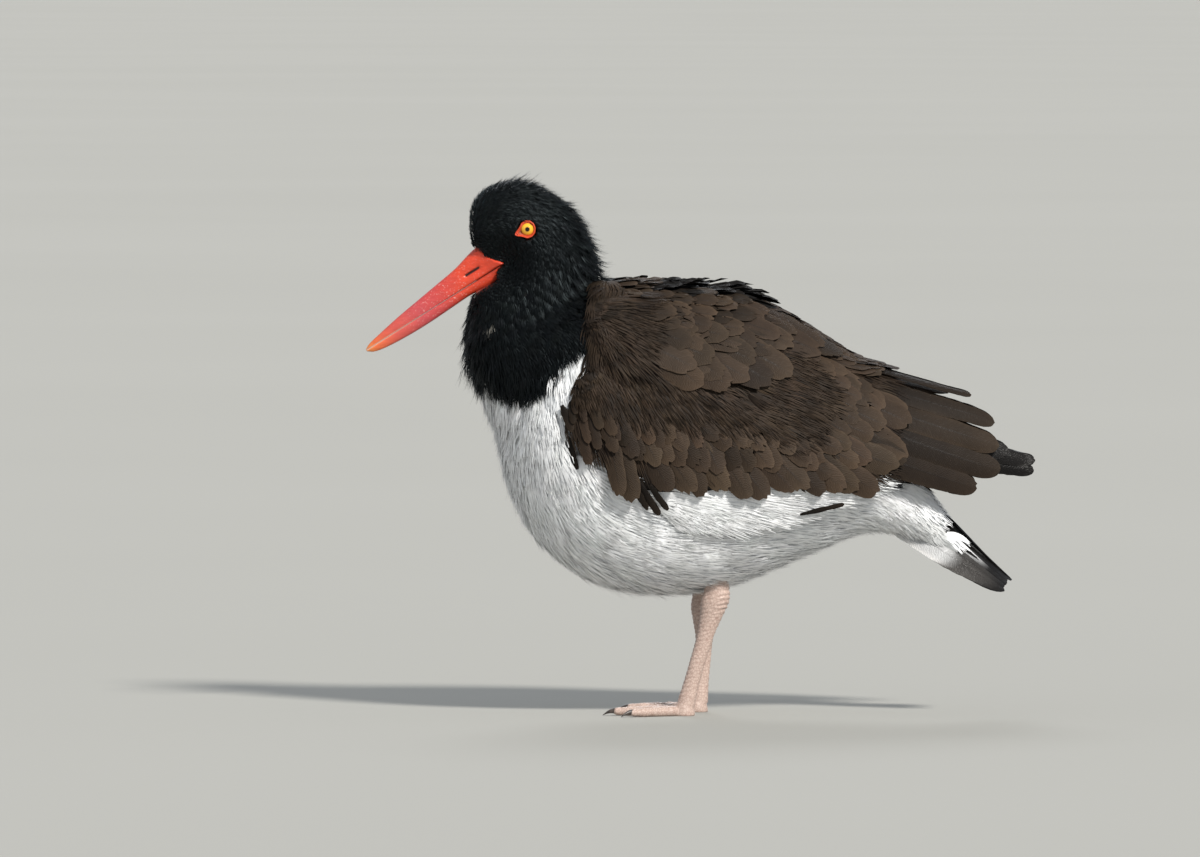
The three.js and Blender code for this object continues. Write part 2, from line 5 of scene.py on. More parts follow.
import bpy
import numpy as np
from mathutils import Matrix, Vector


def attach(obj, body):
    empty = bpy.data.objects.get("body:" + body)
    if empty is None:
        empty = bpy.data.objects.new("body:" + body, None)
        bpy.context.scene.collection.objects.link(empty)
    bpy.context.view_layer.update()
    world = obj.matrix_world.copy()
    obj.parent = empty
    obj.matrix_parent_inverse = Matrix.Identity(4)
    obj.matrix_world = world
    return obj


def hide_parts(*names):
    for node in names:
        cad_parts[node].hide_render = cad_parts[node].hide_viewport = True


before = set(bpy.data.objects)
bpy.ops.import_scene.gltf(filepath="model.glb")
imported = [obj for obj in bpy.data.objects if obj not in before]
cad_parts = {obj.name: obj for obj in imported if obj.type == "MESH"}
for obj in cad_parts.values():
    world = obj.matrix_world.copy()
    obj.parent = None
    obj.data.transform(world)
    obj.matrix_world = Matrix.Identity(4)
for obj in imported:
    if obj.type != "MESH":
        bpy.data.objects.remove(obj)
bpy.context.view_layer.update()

bl_info = {
    "name": "Standing Oystercatcher",
    "version": (1, 0, 0),
    "blender": (4, 5, 0),
    "location": "3D View > Sidebar > Bird",
    "description": "Builds a life-size oystercatcher with skin, feathers, bill, eyes and feet",
    "category": "Add Mesh",
}

# Sizes in this file are in millimetres, and become metres where a mesh is made.
MM = 0.001
SIDES = {"left": -1.0, "right": 1.0}

# Body form from bill root to tail root: belly-side x and z, back-side x and z, half width.
BODY_STATIONS = np.array([
    [-115, 230, -120, 250, 4.5],
    [-119, 228, -124, 262, 8],
    [-121.5, 227, -121.5, 278, 12],
    [-123, 224, -110, 286.5, 15.5],
    [-124, 221, -95.5, 288, 18.5],
    [-125, 217, -79.5, 281.5, 20.8],
    [-125.5, 212, -66.5, 270.5, 23.5],
    [-126.5, 203, -58, 254, 26],
    [-126, 192, -52.5, 237.5, 30],
    [-123, 181.5, -47, 233.5, 36],
    [-116.5, 168.5, -41.5, 233.5, 43],
    [-108.5, 149, -35, 233, 50],
    [-103, 124, -27.5, 232.5, 56],
    [-90, 98, -19, 232, 60],
    [-67, 77, -8, 231, 62],
    [-40, 68, 5, 229, 63],
    [-10, 66.5, 22, 225, 62],
    [19.5, 72, 46, 212, 58],
    [46.5, 83, 70, 190, 50],
    [70.5, 92, 89, 166, 40],
    [91.5, 100, 105, 145, 29],
    [108.5, 98.5, 119, 127, 20],
    [124, 92, 130, 112, 14],
    [139, 84, 141, 97, 8],
], float)
FORM_POWER = 2.2
PINCH_FROM = np.array([-125.0, 240.0])
PINCH_TO = np.array([-108.0, 244.0])
PINCH_REACH = 14.0
PINCH_DEPTH = 0.55

# The closed wings' roof over the back: x, ridge height, lower edge height, half width.
ROOF_STATIONS = np.array([
    [-76, 228, 152, 57],
    [-52, 234, 130, 63],
    [-26, 233.5, 120, 66.5],
    [0, 231, 120.5, 68],
    [25, 227, 122, 67],
    [53, 213, 122, 63],
    [83, 194, 121.5, 55],
    [108, 185.5, 121, 46],
    [130, 179, 121, 36],
    [152, 172, 122, 26],
    [166, 161, 126, 20],
    [180, 150, 124, 15],
], float)
ROOF_POWER = 2.3

# Ends of coverts, shoulder feathers and white secondaries: x, height, and the way they point in degrees.
COVERT_RIM = np.array([
    [-73.5, 167, -80],
    [-71, 150, -80],
    [-61, 137, -76],
    [-45, 127, -72],
    [-26, 121.5, -66],
    [0, 121, -60],
    [25, 121.5, -54],
    [50, 122.5, -47],
    [72, 123, -40],
    [90, 121.5, -31],
    [103, 126, -27],
    [110, 139, -25],
    [114, 151, -22],
    [110, 162, -19],
    [98, 173, -17],
    [86, 181, -15],
], float)
SCAPULAR_RIM = np.array([
    [-60, 195, -104],
    [-53, 187, -88],
    [-43, 182, -68],
    [-29, 180, -52],
    [-9, 178, -42],
    [10, 177.5, -36],
    [28, 180.5, -30],
    [43, 187, -25],
    [57, 191.5, -21],
    [70, 192.5, -18],
    [83, 190.5, -15],
], float)
SECONDARY_RIM = np.array([
    [-34, 118, -44],
    [-22, 111, -38],
    [-6, 103, -31],
    [22, 99, -22],
    [54, 105, -14],
    [76, 113, -10],
    [96, 121, -8],
    [112, 126, -8],
], float)
# Front edge of the wing: height and x.
WING_FRONT = np.array([
    [112, -8], [120, -26], [126.5, -45], [137, -61], [150, -71], [166, -73.6], [179, -65], [195, -56.5],
    [205, -60], [222, -57], [240, -50],
], float)

# Lower border of the black bib: x and height.
BIB_BORDER = np.array([
    [-126, 173], [-118, 171.5], [-108, 167], [-94.5, 165.5], [-86, 175], [-78, 182], [-70.5, 191],
    [-58, 197], [-45, 215],
])

# Bill, along the mouth line from its corner and up or down from it.
GAPE = np.array([-105.3, 0.0, 243.5])
BILL_PITCH = math.radians(32.3)
BILL_FORWARD = np.array([-math.cos(BILL_PITCH), 0.0, -math.sin(BILL_PITCH)])
BILL_RISE = np.array([-math.sin(BILL_PITCH), 0.0, math.cos(BILL_PITCH)])
BILL_LENGTH = 88.0
CULMEN = np.array([
    [0, 9], [4, 14.6], [10, 15], [24, 11.6], [37, 9.7], [51, 7.8], [64, 6], [78, 3.5], [85, 2], [88, 0.5],
], float)
UNDER_BILL = np.array([
    [0, 2.2], [4, 5.4], [10, 6.6], [24, 5], [37, 5.3], [51, 5.7], [64, 5.5], [78, 4.4], [85, 2.8], [88, 0.7],
], float)
BILL_HALF_WIDTH = np.array([
    [0, 11.4], [4, 9.6], [10, 7.2], [24, 4.9], [37, 3.9], [51, 3.5], [64, 3.1], [78, 2.3], [85, 1.6],
    [88, 0.5],
], float)
# Edge of the face feathers round the bill: height over the mouth line, and distance along it.
FEATHER_EDGE = np.array([
    [-7, 8.4], [-5.5, 7.9], [-2.3, 6.9], [-0.8, 4.3], [0, 0], [4, 3.2], [8.4, 6.2], [14.6, 8],
])
NOSTRIL = {"start": 12.9, "end": 20.9, "up": 5.4}

EYE = {"x": -92.6, "y": 15.0, "z": 262.2, "radius": 4.3}
EYELID = {"y": 18.1, "inner": 3.55, "outer": 4.75, "corner": 3.3, "corner_turn": math.radians(204)}

# One leg each, downward: height, middle x, half depth and half width.
LEGS = {
    "left": np.array([
        [92, -3, 12, 11], [80, 6, 8, 7], [70, 9.5, 6.6, 5.4], [62, 8.6, 7.6, 5.6], [54, 6.6, 6.2, 4.6],
        [44, 3.6, 4.7, 3.5], [30, -0.6, 4.3, 3.2], [16, -4.6, 4.4, 3.4], [6.5, -7.2, 5, 4.4],
    ], float),
    "right": np.array([
        [92, -8, 12, 11], [78, 0, 8, 7], [66, 3, 6.4, 5.4], [57, 3.4, 7.6, 5.6], [49, 3.2, 6.2, 4.6],
        [40, 3, 4.7, 3.5], [28, 2.2, 4.3, 3.2], [16, 1, 4.4, 3.4], [6.5, 0, 5, 4.4],
    ], float),
}
LEG_Y = 19.0
TOES = {"inner": (-29.0, 18.0, 2.9), "middle": (0.0, 26.0, 3.1), "outer": (29.0, 21.0, 2.9)}
TOE_ROOT = 12.5
TOE_HEIGHT = 2.3

# Long feathers behind the coverts: root and tip in the side view, half width, layer under the roof.
TERTIALS = [
    [(66, 153), (152, 122.5), 8.5, 4.0],
    [(70, 168), (164, 132), 9.0, 3.0],
    [(66, 181), (163, 146), 8.0, 2.0],
    [(70, 190), (161, 160), 6.6, 1.0],
    [(74, 196), (147.5, 175), 3.2, -1.4],
    [(80, 196), (136, 176), 8, 1.6],
    [(84, 194), (128, 180), 8, 2.4],
]
# Single feathers hanging out of line: root and tip in the side view, half width. The last, on the white feathers
# under the coverts, stands partly for dark feather edges and partly for a shadow line: painted shade.
STRAYS = [
    [(-71, 152), (-66.5, 133.5), 2.2],
    [(-38, 131), (-28, 112), 2.4],
    [(-33, 128), (-22, 109), 2.6],
    [(-27, 126), (-17, 112), 2.2],
    [(54, 109.5), (78, 114.6), 1.7],
]
PRIMARIES = [
    [(80, 152), (181.5, 140), 5.6, 5.4],
    [(80, 145), (181, 133), 4.8, 6.2],
    [(80, 160), (170, 144), 7.5, 5.0],
]
LAYER_PITCH = 1.25

TAIL_TOP = np.array([[118, 121], [171.5, 70.5]], float)
TAIL_LOW = np.array([[108, 101], [161.5, 69.5]], float)
TAIL_HALF_WIDTH = (9.0, 19.0)
TAIL_ARCH = 1.7

# Side of the patch that one tuft takes on its map.
BAKE_PATCH = 0.003
# Stretch of x that the wing's under-layer covers.
WING_SPAN = (-76, 96)
# What the camera looks at, in millimetres, and the width it takes in there, in metres.
VIEW_MIDDLE = np.array([-53.5, 0.0, 154.2])
VIEW_WIDTH = 0.648
FLOOR_REACH = 400.0


def signed_power(value, exponent):
    """Power that keeps the sign: sign(v) |v|^e."""
    return np.sign(value) * np.abs(value) ** exponent


def ease(low, high, value):
    """Smooth step: 3t^2 - 2t^3 with t the share of the way from low to high."""
    t = np.clip((value - low) / (high - low), 0, 1)
    return t * t * (3 - 2 * t)


def unit(vectors):
    return vectors / np.maximum(np.linalg.norm(vectors, axis=-1, keepdims=True), 1e-9)


def dot(a, b):
    return (a * b).sum(-1)


def read_table(table, at):
    """Columns of a table at values of its first column, by cubics whose slopes join the rows."""
    xs, ys = table[:, 0], table[:, 1:]
    at = np.clip(np.asarray(at, float), xs[0], xs[-1])
    last = len(xs) - 1
    rows = np.arange(len(xs))
    before, after = np.maximum(rows - 1, 0), np.minimum(rows + 1, last)
    slope = (ys[after] - ys[before]) / (xs[after] - xs[before])[:, None]
    i = np.clip(np.searchsorted(xs, at, side="right") - 1, 0, last - 1)
    span = (xs[i + 1] - xs[i])[..., None]
    s = (at[..., None] - xs[i][..., None]) / span
    return (
        (2 * s**3 - 3 * s**2 + 1) * ys[i]
        + (s**3 - 2 * s**2 + s) * span * slope[i]
        + (3 * s**2 - 2 * s**3) * ys[i + 1]
        + (s**3 - s**2) * span * slope[i + 1]
    )


def body_line(columns, t):
    """Catmull-Rom curve through columns of the stations at t from 0 to 1, straight on past both ends."""
    knots = BODY_STATIONS[:, columns]
    last = len(knots) - 1
    place = np.clip(t, 0, 1) * last
    i = np.minimum(place.astype(int), last - 1)
    w = (place - i)[..., None]
    padded = np.vstack([2 * knots[0] - knots[1], knots, 2 * knots[-1] - knots[-2]])
    p0, p1, p2, p3 = (padded[i + k] for k in range(4))
    start, end = (p2 - p0) / 2, (p3 - p1) / 2
    inside = (
        (2 * p1 - 2 * p2 + start + end) * w**3 + (3 * p2 - 3 * p1 - 2 * start - end) * w**2 + start * w + p1
    )
    over = (np.maximum(t - 1, 0) * last)[..., None] * (knots[-1] - knots[-2])
    under = (np.minimum(t, 0) * last)[..., None] * (knots[1] - knots[0])
    return inside + over + under


def face_share(x, z):
    """Share of its width the face keeps: 1 - depth exp(-(d / reach)^2), d from the bill's root."""
    line = PINCH_TO - PINCH_FROM
    s = np.clip(((x - PINCH_FROM[0]) * line[0] + (z - PINCH_FROM[1]) * line[1]) / (line @ line), 0, 1)
    distance = np.hypot(x - PINCH_FROM[0] - s * line[0], z - PINCH_FROM[1] - s * line[1])
    return 1 - PINCH_DEPTH * np.exp(-((distance / PINCH_REACH) ** 2))


def body_point(t, turn):
    """Superellipse between belly line and back line at t; turn 0 is the back, minus turns are left."""
    t, turn = np.broadcast_arrays(np.asarray(t, float), np.asarray(turn, float))
    belly, back = body_line([0, 1], t), body_line([2, 3], t)
    half = np.maximum(body_line([4], t)[..., 0], 2.0)
    rise = signed_power(np.cos(turn), 2 / FORM_POWER)[..., None]
    middle = (belly + back) / 2 + (back - belly) / 2 * rise
    x, z = middle[..., 0], middle[..., 1]
    y = half * signed_power(np.sin(turn), 2 / FORM_POWER) * face_share(x, z)
    return np.stack([x, y, z], -1)


def roof_point(x, turn):
    """Arch of the closed wings at x: y = half |sin|^(2/p), z = edge + (ridge - edge) |cos|^(2/p)."""
    x, turn = np.broadcast_arrays(np.asarray(x, float), np.asarray(turn, float))
    ridge, edge, half = np.moveaxis(read_table(ROOF_STATIONS, x), -1, 0)
    y = half * signed_power(np.sin(turn), 2 / ROOF_POWER)
    return np.stack([x, y, edge + (ridge - edge) * signed_power(np.cos(turn), 2 / ROOF_POWER)], -1)


def skirt_point(x, turn):
    """The roof, drawn in below its lower edge by 0.35 of the height under it."""
    point = roof_point(x, turn)
    edge = read_table(ROOF_STATIONS, point[..., 0])[..., 1]
    point[..., 1] -= np.sign(point[..., 1]) * 0.35 * np.maximum(edge + 4 - point[..., 2], 0)
    return point


def roof_turn(x, z):
    """The roof's turn at x and height z, from 0 at the ridge to pi / 2 at the lower edge."""
    ridge, edge, _ = np.moveaxis(read_table(ROOF_STATIONS, x), -1, 0)
    share = np.clip((z - edge) / (ridge - edge), -0.3, 0.995)
    return np.arccos(np.clip(signed_power(share, ROOF_POWER / 2), -1, 1))


def tail_point(s, a):
    """Arch of the folded tail: the top line falls to the low line as |a|^1.7; a runs across, s along."""
    s, a = np.broadcast_arrays(np.asarray(s, float), np.asarray(a, float))
    fall = (np.abs(a) ** TAIL_ARCH)[..., None]
    top = TAIL_TOP[0] + s[..., None] * (TAIL_TOP[1] - TAIL_TOP[0])
    low = TAIL_LOW[0] + s[..., None] * (TAIL_LOW[1] - TAIL_LOW[0])
    middle = top + fall * (low - top)
    half = TAIL_HALF_WIDTH[0] + s * (TAIL_HALF_WIDTH[1] - TAIL_HALF_WIDTH[0])
    return np.stack([middle[..., 0], a * half, middle[..., 1]], -1)


def leg_line(side, height):
    """Middle x, half depth and half width of a leg at a height."""
    rows = LEGS[side]
    table = np.column_stack([-rows[:, 0], rows[:, 1:]])
    return np.moveaxis(read_table(table, -height), -1, 0)


def foot_place(side):
    return np.array([LEGS[side][-1, 1] - 1, SIDES[side] * LEG_Y])


def toe_axes(turn):
    """Unit vectors along a toe and across it, on the floor."""
    forward = np.array([-math.cos(turn), math.sin(turn), 0.0])
    return forward, np.array([forward[1], -forward[0], 0.0])


def thigh_point(side):
    """Point function of one thigh: an oval round the leg's middle line; t runs down its upper third."""

    def point(t, turn):
        t, turn = np.broadcast_arrays(np.asarray(t, float), np.asarray(turn, float))
        height = 96 - 24 * t
        x, deep, wide = leg_line(side, height)
        return np.stack([x + deep * np.cos(turn), SIDES[side] * LEG_Y + wide * np.sin(turn), height], -1)

    return point


class Surface:
    """A point function of p and q, with the small steps its tangents are taken over."""

    def __init__(self, point, step_p, step_q, turned=1.0):
        self.point, self.step_p, self.step_q, self.turned = point, step_p, step_q, turned

    def frame(self, p, q):
        """Point, tangent along p, tangent along q and outward normal, tangents by central differences."""
        along = (self.point(p + self.step_p, q) - self.point(p - self.step_p, q)) / (2 * self.step_p)
        across = (self.point(p, q + self.step_q) - self.point(p, q - self.step_q)) / (2 * self.step_q)
        return self.point(p, q), along, across, unit(np.cross(along, across)) * self.turned


BODY = Surface(body_point, 0.004, 0.02)
ROOF = Surface(roof_point, 0.5, 0.02)
SKIRT = Surface(skirt_point, 0.5, 0.02)
TAIL = Surface(tail_point, 0.02, 0.02)


def lay_shafts(surface, p, q, length, heading, stops):
    """Feather shafts over a surface: steps from (p, q) along heading(point, flow) in the tangent plane.

    A step's (dp, dq) solves the first form E F G of the surface for the way it takes. Returns points, normals
    and ways, each (feathers, stops, 3), and the last (p, q).
    """
    rows = []
    for k, stop in enumerate(stops):
        point, along, across, normal = surface.frame(p, q)
        way = heading(point, unit(along))
        way = unit(way - normal * dot(way, normal)[..., None])
        rows.append((point, normal, way))
        if k + 1 < len(stops):
            step = (stops[k + 1] - stop) * length
            e, f, g = dot(along, along), dot(along, across), dot(across, across)
            a, b = dot(along, way), dot(across, way)
            room = np.maximum(e * g - f * f, 1e-9)
            p = p + step * (a * g - b * f) / room
            q = q + step * (b * e - a * f) / room
    points, normals, ways = (np.stack(column, axis=1) for column in zip(*rows))
    return (points, normals, ways), (p, q)


def scatter(surface, p_span, q_span, density, cells=(220, 160)):
    """Spreads places over a surface, density(point) of them to the square millimetre.

    The area times density of each cell gives running sums along p and then q, and a two-dimensional additive
    sequence (0.7549, 0.5698) is read back through them, which keeps the places evenly apart.
    """
    p_edge = np.linspace(*p_span, cells[0] + 1)
    q_edge = np.linspace(*q_span, cells[1] + 1)
    p, q = np.meshgrid((p_edge[1:] + p_edge[:-1]) / 2, (q_edge[1:] + q_edge[:-1]) / 2, indexing="ij")
    point, along, across, _ = surface.frame(p, q)
    area = np.linalg.norm(np.cross(along, across), axis=-1)
    area = area * (p_edge[1] - p_edge[0]) * (q_edge[1] - q_edge[0])
    weight = area * density(point) + 1e-12
    count = int(round(weight.sum()))
    k = np.arange(count)
    u, v = (0.5 + 0.7548776662 * k) % 1, (0.5 + 0.5698402910 * k) % 1
    rows = np.concatenate([[0], np.cumsum(weight.sum(1))]) / weight.sum()
    p_at = np.interp(u, rows, p_edge)
    row = np.clip(((p_at - p_span[0]) / (p_edge[1] - p_edge[0])).astype(int), 0, cells[0] - 1)
    sums = np.cumsum(weight[row], axis=1) / weight[row].sum(1)[:, None]
    column = (sums < v[:, None]).sum(1).clip(0, cells[1] - 1)
    below = np.where(column > 0, sums[k, np.maximum(column - 1, 0)], 0)
    share = (v - below) / np.maximum(sums[k, column] - below, 1e-9)
    return p_at, q_edge[column] + share * (q_edge[1] - q_edge[0])


def evenly(apart):
    """Density function of places a distance apart."""
    return lambda point: np.full(point.shape[:-1], 1 / apart**2)


def body_places(t, turn):
    """Places on the unwrap of the body's own form."""
    return 0.02 + 0.96 * np.stack([np.clip(t, 0, 1), turn / (2 * np.pi) + 0.5], -1)


def roof_places(x, turn):
    """Places on the unwrap of the wing roof."""
    return 0.02 + 0.96 * np.stack([np.clip((x + 90) / 280, 0, 1), turn / np.pi * 0.8 + 0.5], -1)


def bill_places(points):
    """Distance along the mouth line and height over it."""
    away = points - GAPE
    return away @ BILL_FORWARD, away @ BILL_RISE


def bare_face(points, more=0.0):
    """1 where the bill is bare of feathers and more millimetres round it, 0 on the feathered face."""
    along, up = bill_places(points)
    edge = np.interp(up, *FEATHER_EDGE.T) - more
    low, high = ease(-5.7 - more, -4.7 - more, up), ease(16.5 + more, 15.2 + more, up)
    return ease(-0.4, 0.6, along - edge) * low * high


def eye_distance(points, shift=0.0):
    return np.hypot(points[..., 0] - EYE["x"] - shift, points[..., 2] - EYE["z"])


def black_share(points):
    """1 on the black head and neck, 0 below the bib and behind the nape."""
    x, z = points[..., 0], points[..., 2]
    return (z > np.interp(x, *BIB_BORDER.T)) * (x < -50 - 0.09 * (235 - np.minimum(z, 245)))


def wing_front(z):
    """Front edge of the wing at a height."""
    return np.interp(z, *WING_FRONT.T)


def wing_covers(points, ahead=3.0, above=5.0):
    """True where the closed wing lies over the body, set distances behind its front and over its rim."""
    x, z = points[..., 0], points[..., 2]
    return (x > wing_front(z - above) + ahead) & (z > 117 + above)


class Plumage:
    """Gathers many small grids of points, each a barb or a vane, and makes one mesh of them."""

    def __init__(self):
        self.points, self.faces, self.normals = [], [], []
        self.vane, self.bake, self.tint, self.barb = [], [], [], []
        self.count = 0

    def add(self, points, vane, bake, tint, barb, normals):
        """Grids (n, rows, columns, 3) with maps, tints and shading; a face joins four neighbours."""
        n, rows, columns = points.shape[:3]
        index = np.arange(n * rows * columns).reshape(n, rows, columns) + self.count
        quads = np.stack([index[:, :-1, :-1], index[:, 1:, :-1], index[:, 1:, 1:], index[:, :-1, 1:]], -1)
        self.count += n * rows * columns
        self.faces.append(quads.reshape(-1, 4))
        self.points.append(points.reshape(-1, 3))
        stores = (self.vane, vane, 2), (self.bake, bake, 2), (self.tint, tint, 3), (self.normals, normals, 3)
        for store, values, width in stores:
            store.append(np.broadcast_to(values, (n, rows, columns, width)).reshape(-1, width))
        self.barb.append(np.broadcast_to(barb, (n, rows, columns)).reshape(-1))

    def build(self, name, material, bake=True):
        mesh = mesh_of(name, np.concatenate(self.points), np.concatenate(self.faces))
        add_map(mesh, "Vane", np.concatenate(self.vane))
        if bake:
            add_map(mesh, "OFBake", np.concatenate(self.bake))
        mesh.uv_layers["Vane"].active_render = True
        add_tint(mesh, np.concatenate(self.tint))
        layer = mesh.attributes.new("Barb", "FLOAT", "POINT")
        layer.data.foreach_set("value", np.concatenate(self.barb).astype(np.float32))
        mesh.normals_split_custom_set_from_vertices(unit(np.concatenate(self.normals)).tolist())
        return place(mesh, material)


def mesh_of(name, points, faces):
    """A smooth mesh from points in millimetres and an array of four-cornered faces."""
    mesh = bpy.data.meshes.new(name)
    mesh.vertices.add(len(points))
    mesh.vertices.foreach_set("co", (points * MM).astype(np.float32).ravel())
    mesh.loops.add(faces.size)
    mesh.loops.foreach_set("vertex_index", faces.astype(np.int32).ravel())
    mesh.polygons.add(len(faces))
    mesh.polygons.foreach_set("loop_start", np.arange(len(faces), dtype=np.int32) * faces.shape[1])
    mesh.polygons.foreach_set("use_smooth", np.ones(len(faces), bool))
    mesh.update(calc_edges=True)
    mesh.validate()
    return mesh


def loop_vertices(mesh):
    index = np.empty(len(mesh.loops), np.int32)
    mesh.loops.foreach_get("vertex_index", index)
    return index


def add_map(mesh, name, values):
    """A UV map from one value for each vertex."""
    layer = mesh.uv_layers.new(name=name)
    layer.data.foreach_set("uv", values[loop_vertices(mesh)].astype(np.float32).ravel())


def add_tint(mesh, colours):
    layer = mesh.color_attributes.new("Tint", "FLOAT_COLOR", "POINT")
    rgba = np.concatenate([colours, np.ones((len(colours), 1))], axis=1)
    layer.data.foreach_set("color", rgba.astype(np.float32).ravel())


def vertices_of(mesh):
    points = np.empty(len(mesh.vertices) * 3, np.float32)
    mesh.vertices.foreach_get("co", points)
    return points.reshape(-1, 3).astype(float) / MM


def place(mesh, material):
    piece = bpy.data.objects.new(mesh.name, mesh)
    bpy.context.scene.collection.objects.link(piece)
    if material:
        mesh.materials.append(material)
    return piece


def declare(piece, slot, *nodes):
    """The piece rides on the still body and stands for those solids, which it hides; slot is not used."""
    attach(piece, "root")
    if nodes:
        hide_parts(*nodes)


def tube_mesh(name, rings):
    """A closed mesh from rings (n, k, 3): walls between them, and each end drawn in to a pole."""
    n, k = rings.shape[:2]
    index = np.arange(n * k).reshape(n, k)
    after = np.roll(index, -1, axis=1)
    quads = np.stack([index[:-1], after[:-1], after[1:], index[1:]], -1).reshape(-1, 4)
    poles = np.stack([rings[0].mean(0), rings[-1].mean(0)])
    caps = [(after[0], index[0], n * k), (index[-1], after[-1], n * k + 1)]
    triangles = np.concatenate([np.stack([a, b, np.full(k, pole)], -1) for a, b, pole in caps])
    mesh = bpy.data.meshes.new(name)
    points = np.concatenate([rings.reshape(-1, 3), poles])
    mesh.from_pydata((points * MM).tolist(), [], quads.tolist() + triangles.tolist())
    mesh.polygons.foreach_set("use_smooth", np.ones(len(mesh.polygons), bool))
    mesh.update()
    return mesh


def add_tufts(plumage, shafts, stops, spread, barbs, hair, sink, rise, tint, places, rng, fluff=0.5,
              shade=0.55, tones=0.1, twists=0.25, dome=0.35):
    """Soft feathers: each a fan of barbs, narrow strips that spread from the shaft's root and end in points.

    A barb at place f across lies at f * spread * sin(pi/2 u^0.8) from the shaft, reaches 1 - 0.22 f^2 of its
    length, and rises from -sink at the root to rise at the tip as u^0.7. Its strip narrows as 1 - 0.9 u^1.5.
    Its colour darkens towards the root by shade (1 - u)^1.5: painted shade under the overlapping feathers.
    """
    point, normal, way = shafts
    n = point.shape[0]
    u = np.asarray(stops)
    fan = np.linspace(-1, 1, barbs)[None] + rng.uniform(-0.6, 0.6, (n, barbs)) / barbs
    reach = (1 - 0.22 * fan**2) * rng.uniform(0.78, 1.0, (n, barbs))
    side = np.cross(normal, way)[:, None]
    centre = point[:, None, :1] + (point - point[:, :1])[:, None] * reach[..., None, None]
    bow = np.sin(np.pi / 2 * u**0.8)
    drift = rng.normal(0, 0.08, (n, barbs))[..., None] * u**2
    across = (fan[..., None] * bow + drift) * spread[:, None, None]
    loose = 1 + fluff * rng.normal(0, 1, (n, barbs))[..., None] * u**2
    height = -sink[:, None, None] + (sink + rise)[:, None, None] * (u**0.7) * loose
    height = height - 0.1 * np.abs(across)
    centre = centre + side * across[..., None] + normal[:, None] * height[..., None]
    twist = rng.normal(0, twists, (n, barbs))[..., None, None]
    flat = side * np.cos(twist) + normal[:, None] * np.sin(twist)
    half = (hair[:, None] * (1 - 0.9 * u**1.5) / 2)[:, None, :, None]
    grid = np.stack([centre - flat * half, centre + flat * half], axis=3)
    rows = len(u)
    grid = grid.reshape(n * barbs, rows, 2, 3)
    vane = np.empty((n * barbs, rows, 2, 2))
    vane[..., 0] = np.array([0.0, 1.0])
    vane[..., 1] = u[None, :, None]
    # Painted shade: a random tone for each barb, darkened towards its root by shade (1 - u)^1.5.
    tone = rng.normal(1, tones, (n, barbs, 1, 1, 1)) * (1 - shade * (1 - u[None, None, :, None, None]) ** 1.5)
    colour = (tint[:, None, None, None] * tone).reshape(n * barbs, rows, 1, 3)
    patch = np.stack([np.broadcast_to(fan[..., None] * 0.5, (n, barbs, rows)),
                      np.broadcast_to(u - 0.5, (n, barbs, rows))], -1) * BAKE_PATCH
    bake = (places[:, None, None] + patch).reshape(n * barbs, rows, 1, 2)
    lean = rng.normal(0, 0.1, (n, 1, 1, 3))
    along = 0.2 * way[:, None] * (u[:, None] - 0.4)
    shaded = unit(normal[:, None] + dome * fan[..., None, None] * side + along + lean)
    plumage.add(grid, vane, bake, np.clip(colour, 0, 1), 0.0, shaded.reshape(n * barbs, rows, 1, 3))


def round_outline(u):
    """Contour feather: widens as u^0.6 to its middle, then narrows by a tenth."""
    return np.where(u < 0.5, 0.4 + 0.6 * (u / 0.5) ** 0.6, 1 - 0.1 * ease(0.5, 1, u))


def long_outline(u):
    """Tertial: full width from a quarter of the way, narrower by a fifth at the tip."""
    return 0.5 + 0.5 * ease(0, 0.25, u) - 0.2 * ease(0.6, 1, u)


def pointed_outline(u):
    """Primary: narrows by a quarter towards its tip."""
    return 0.6 + 0.4 * ease(0, 0.3, u) - 0.25 * ease(0.7, 1, u)


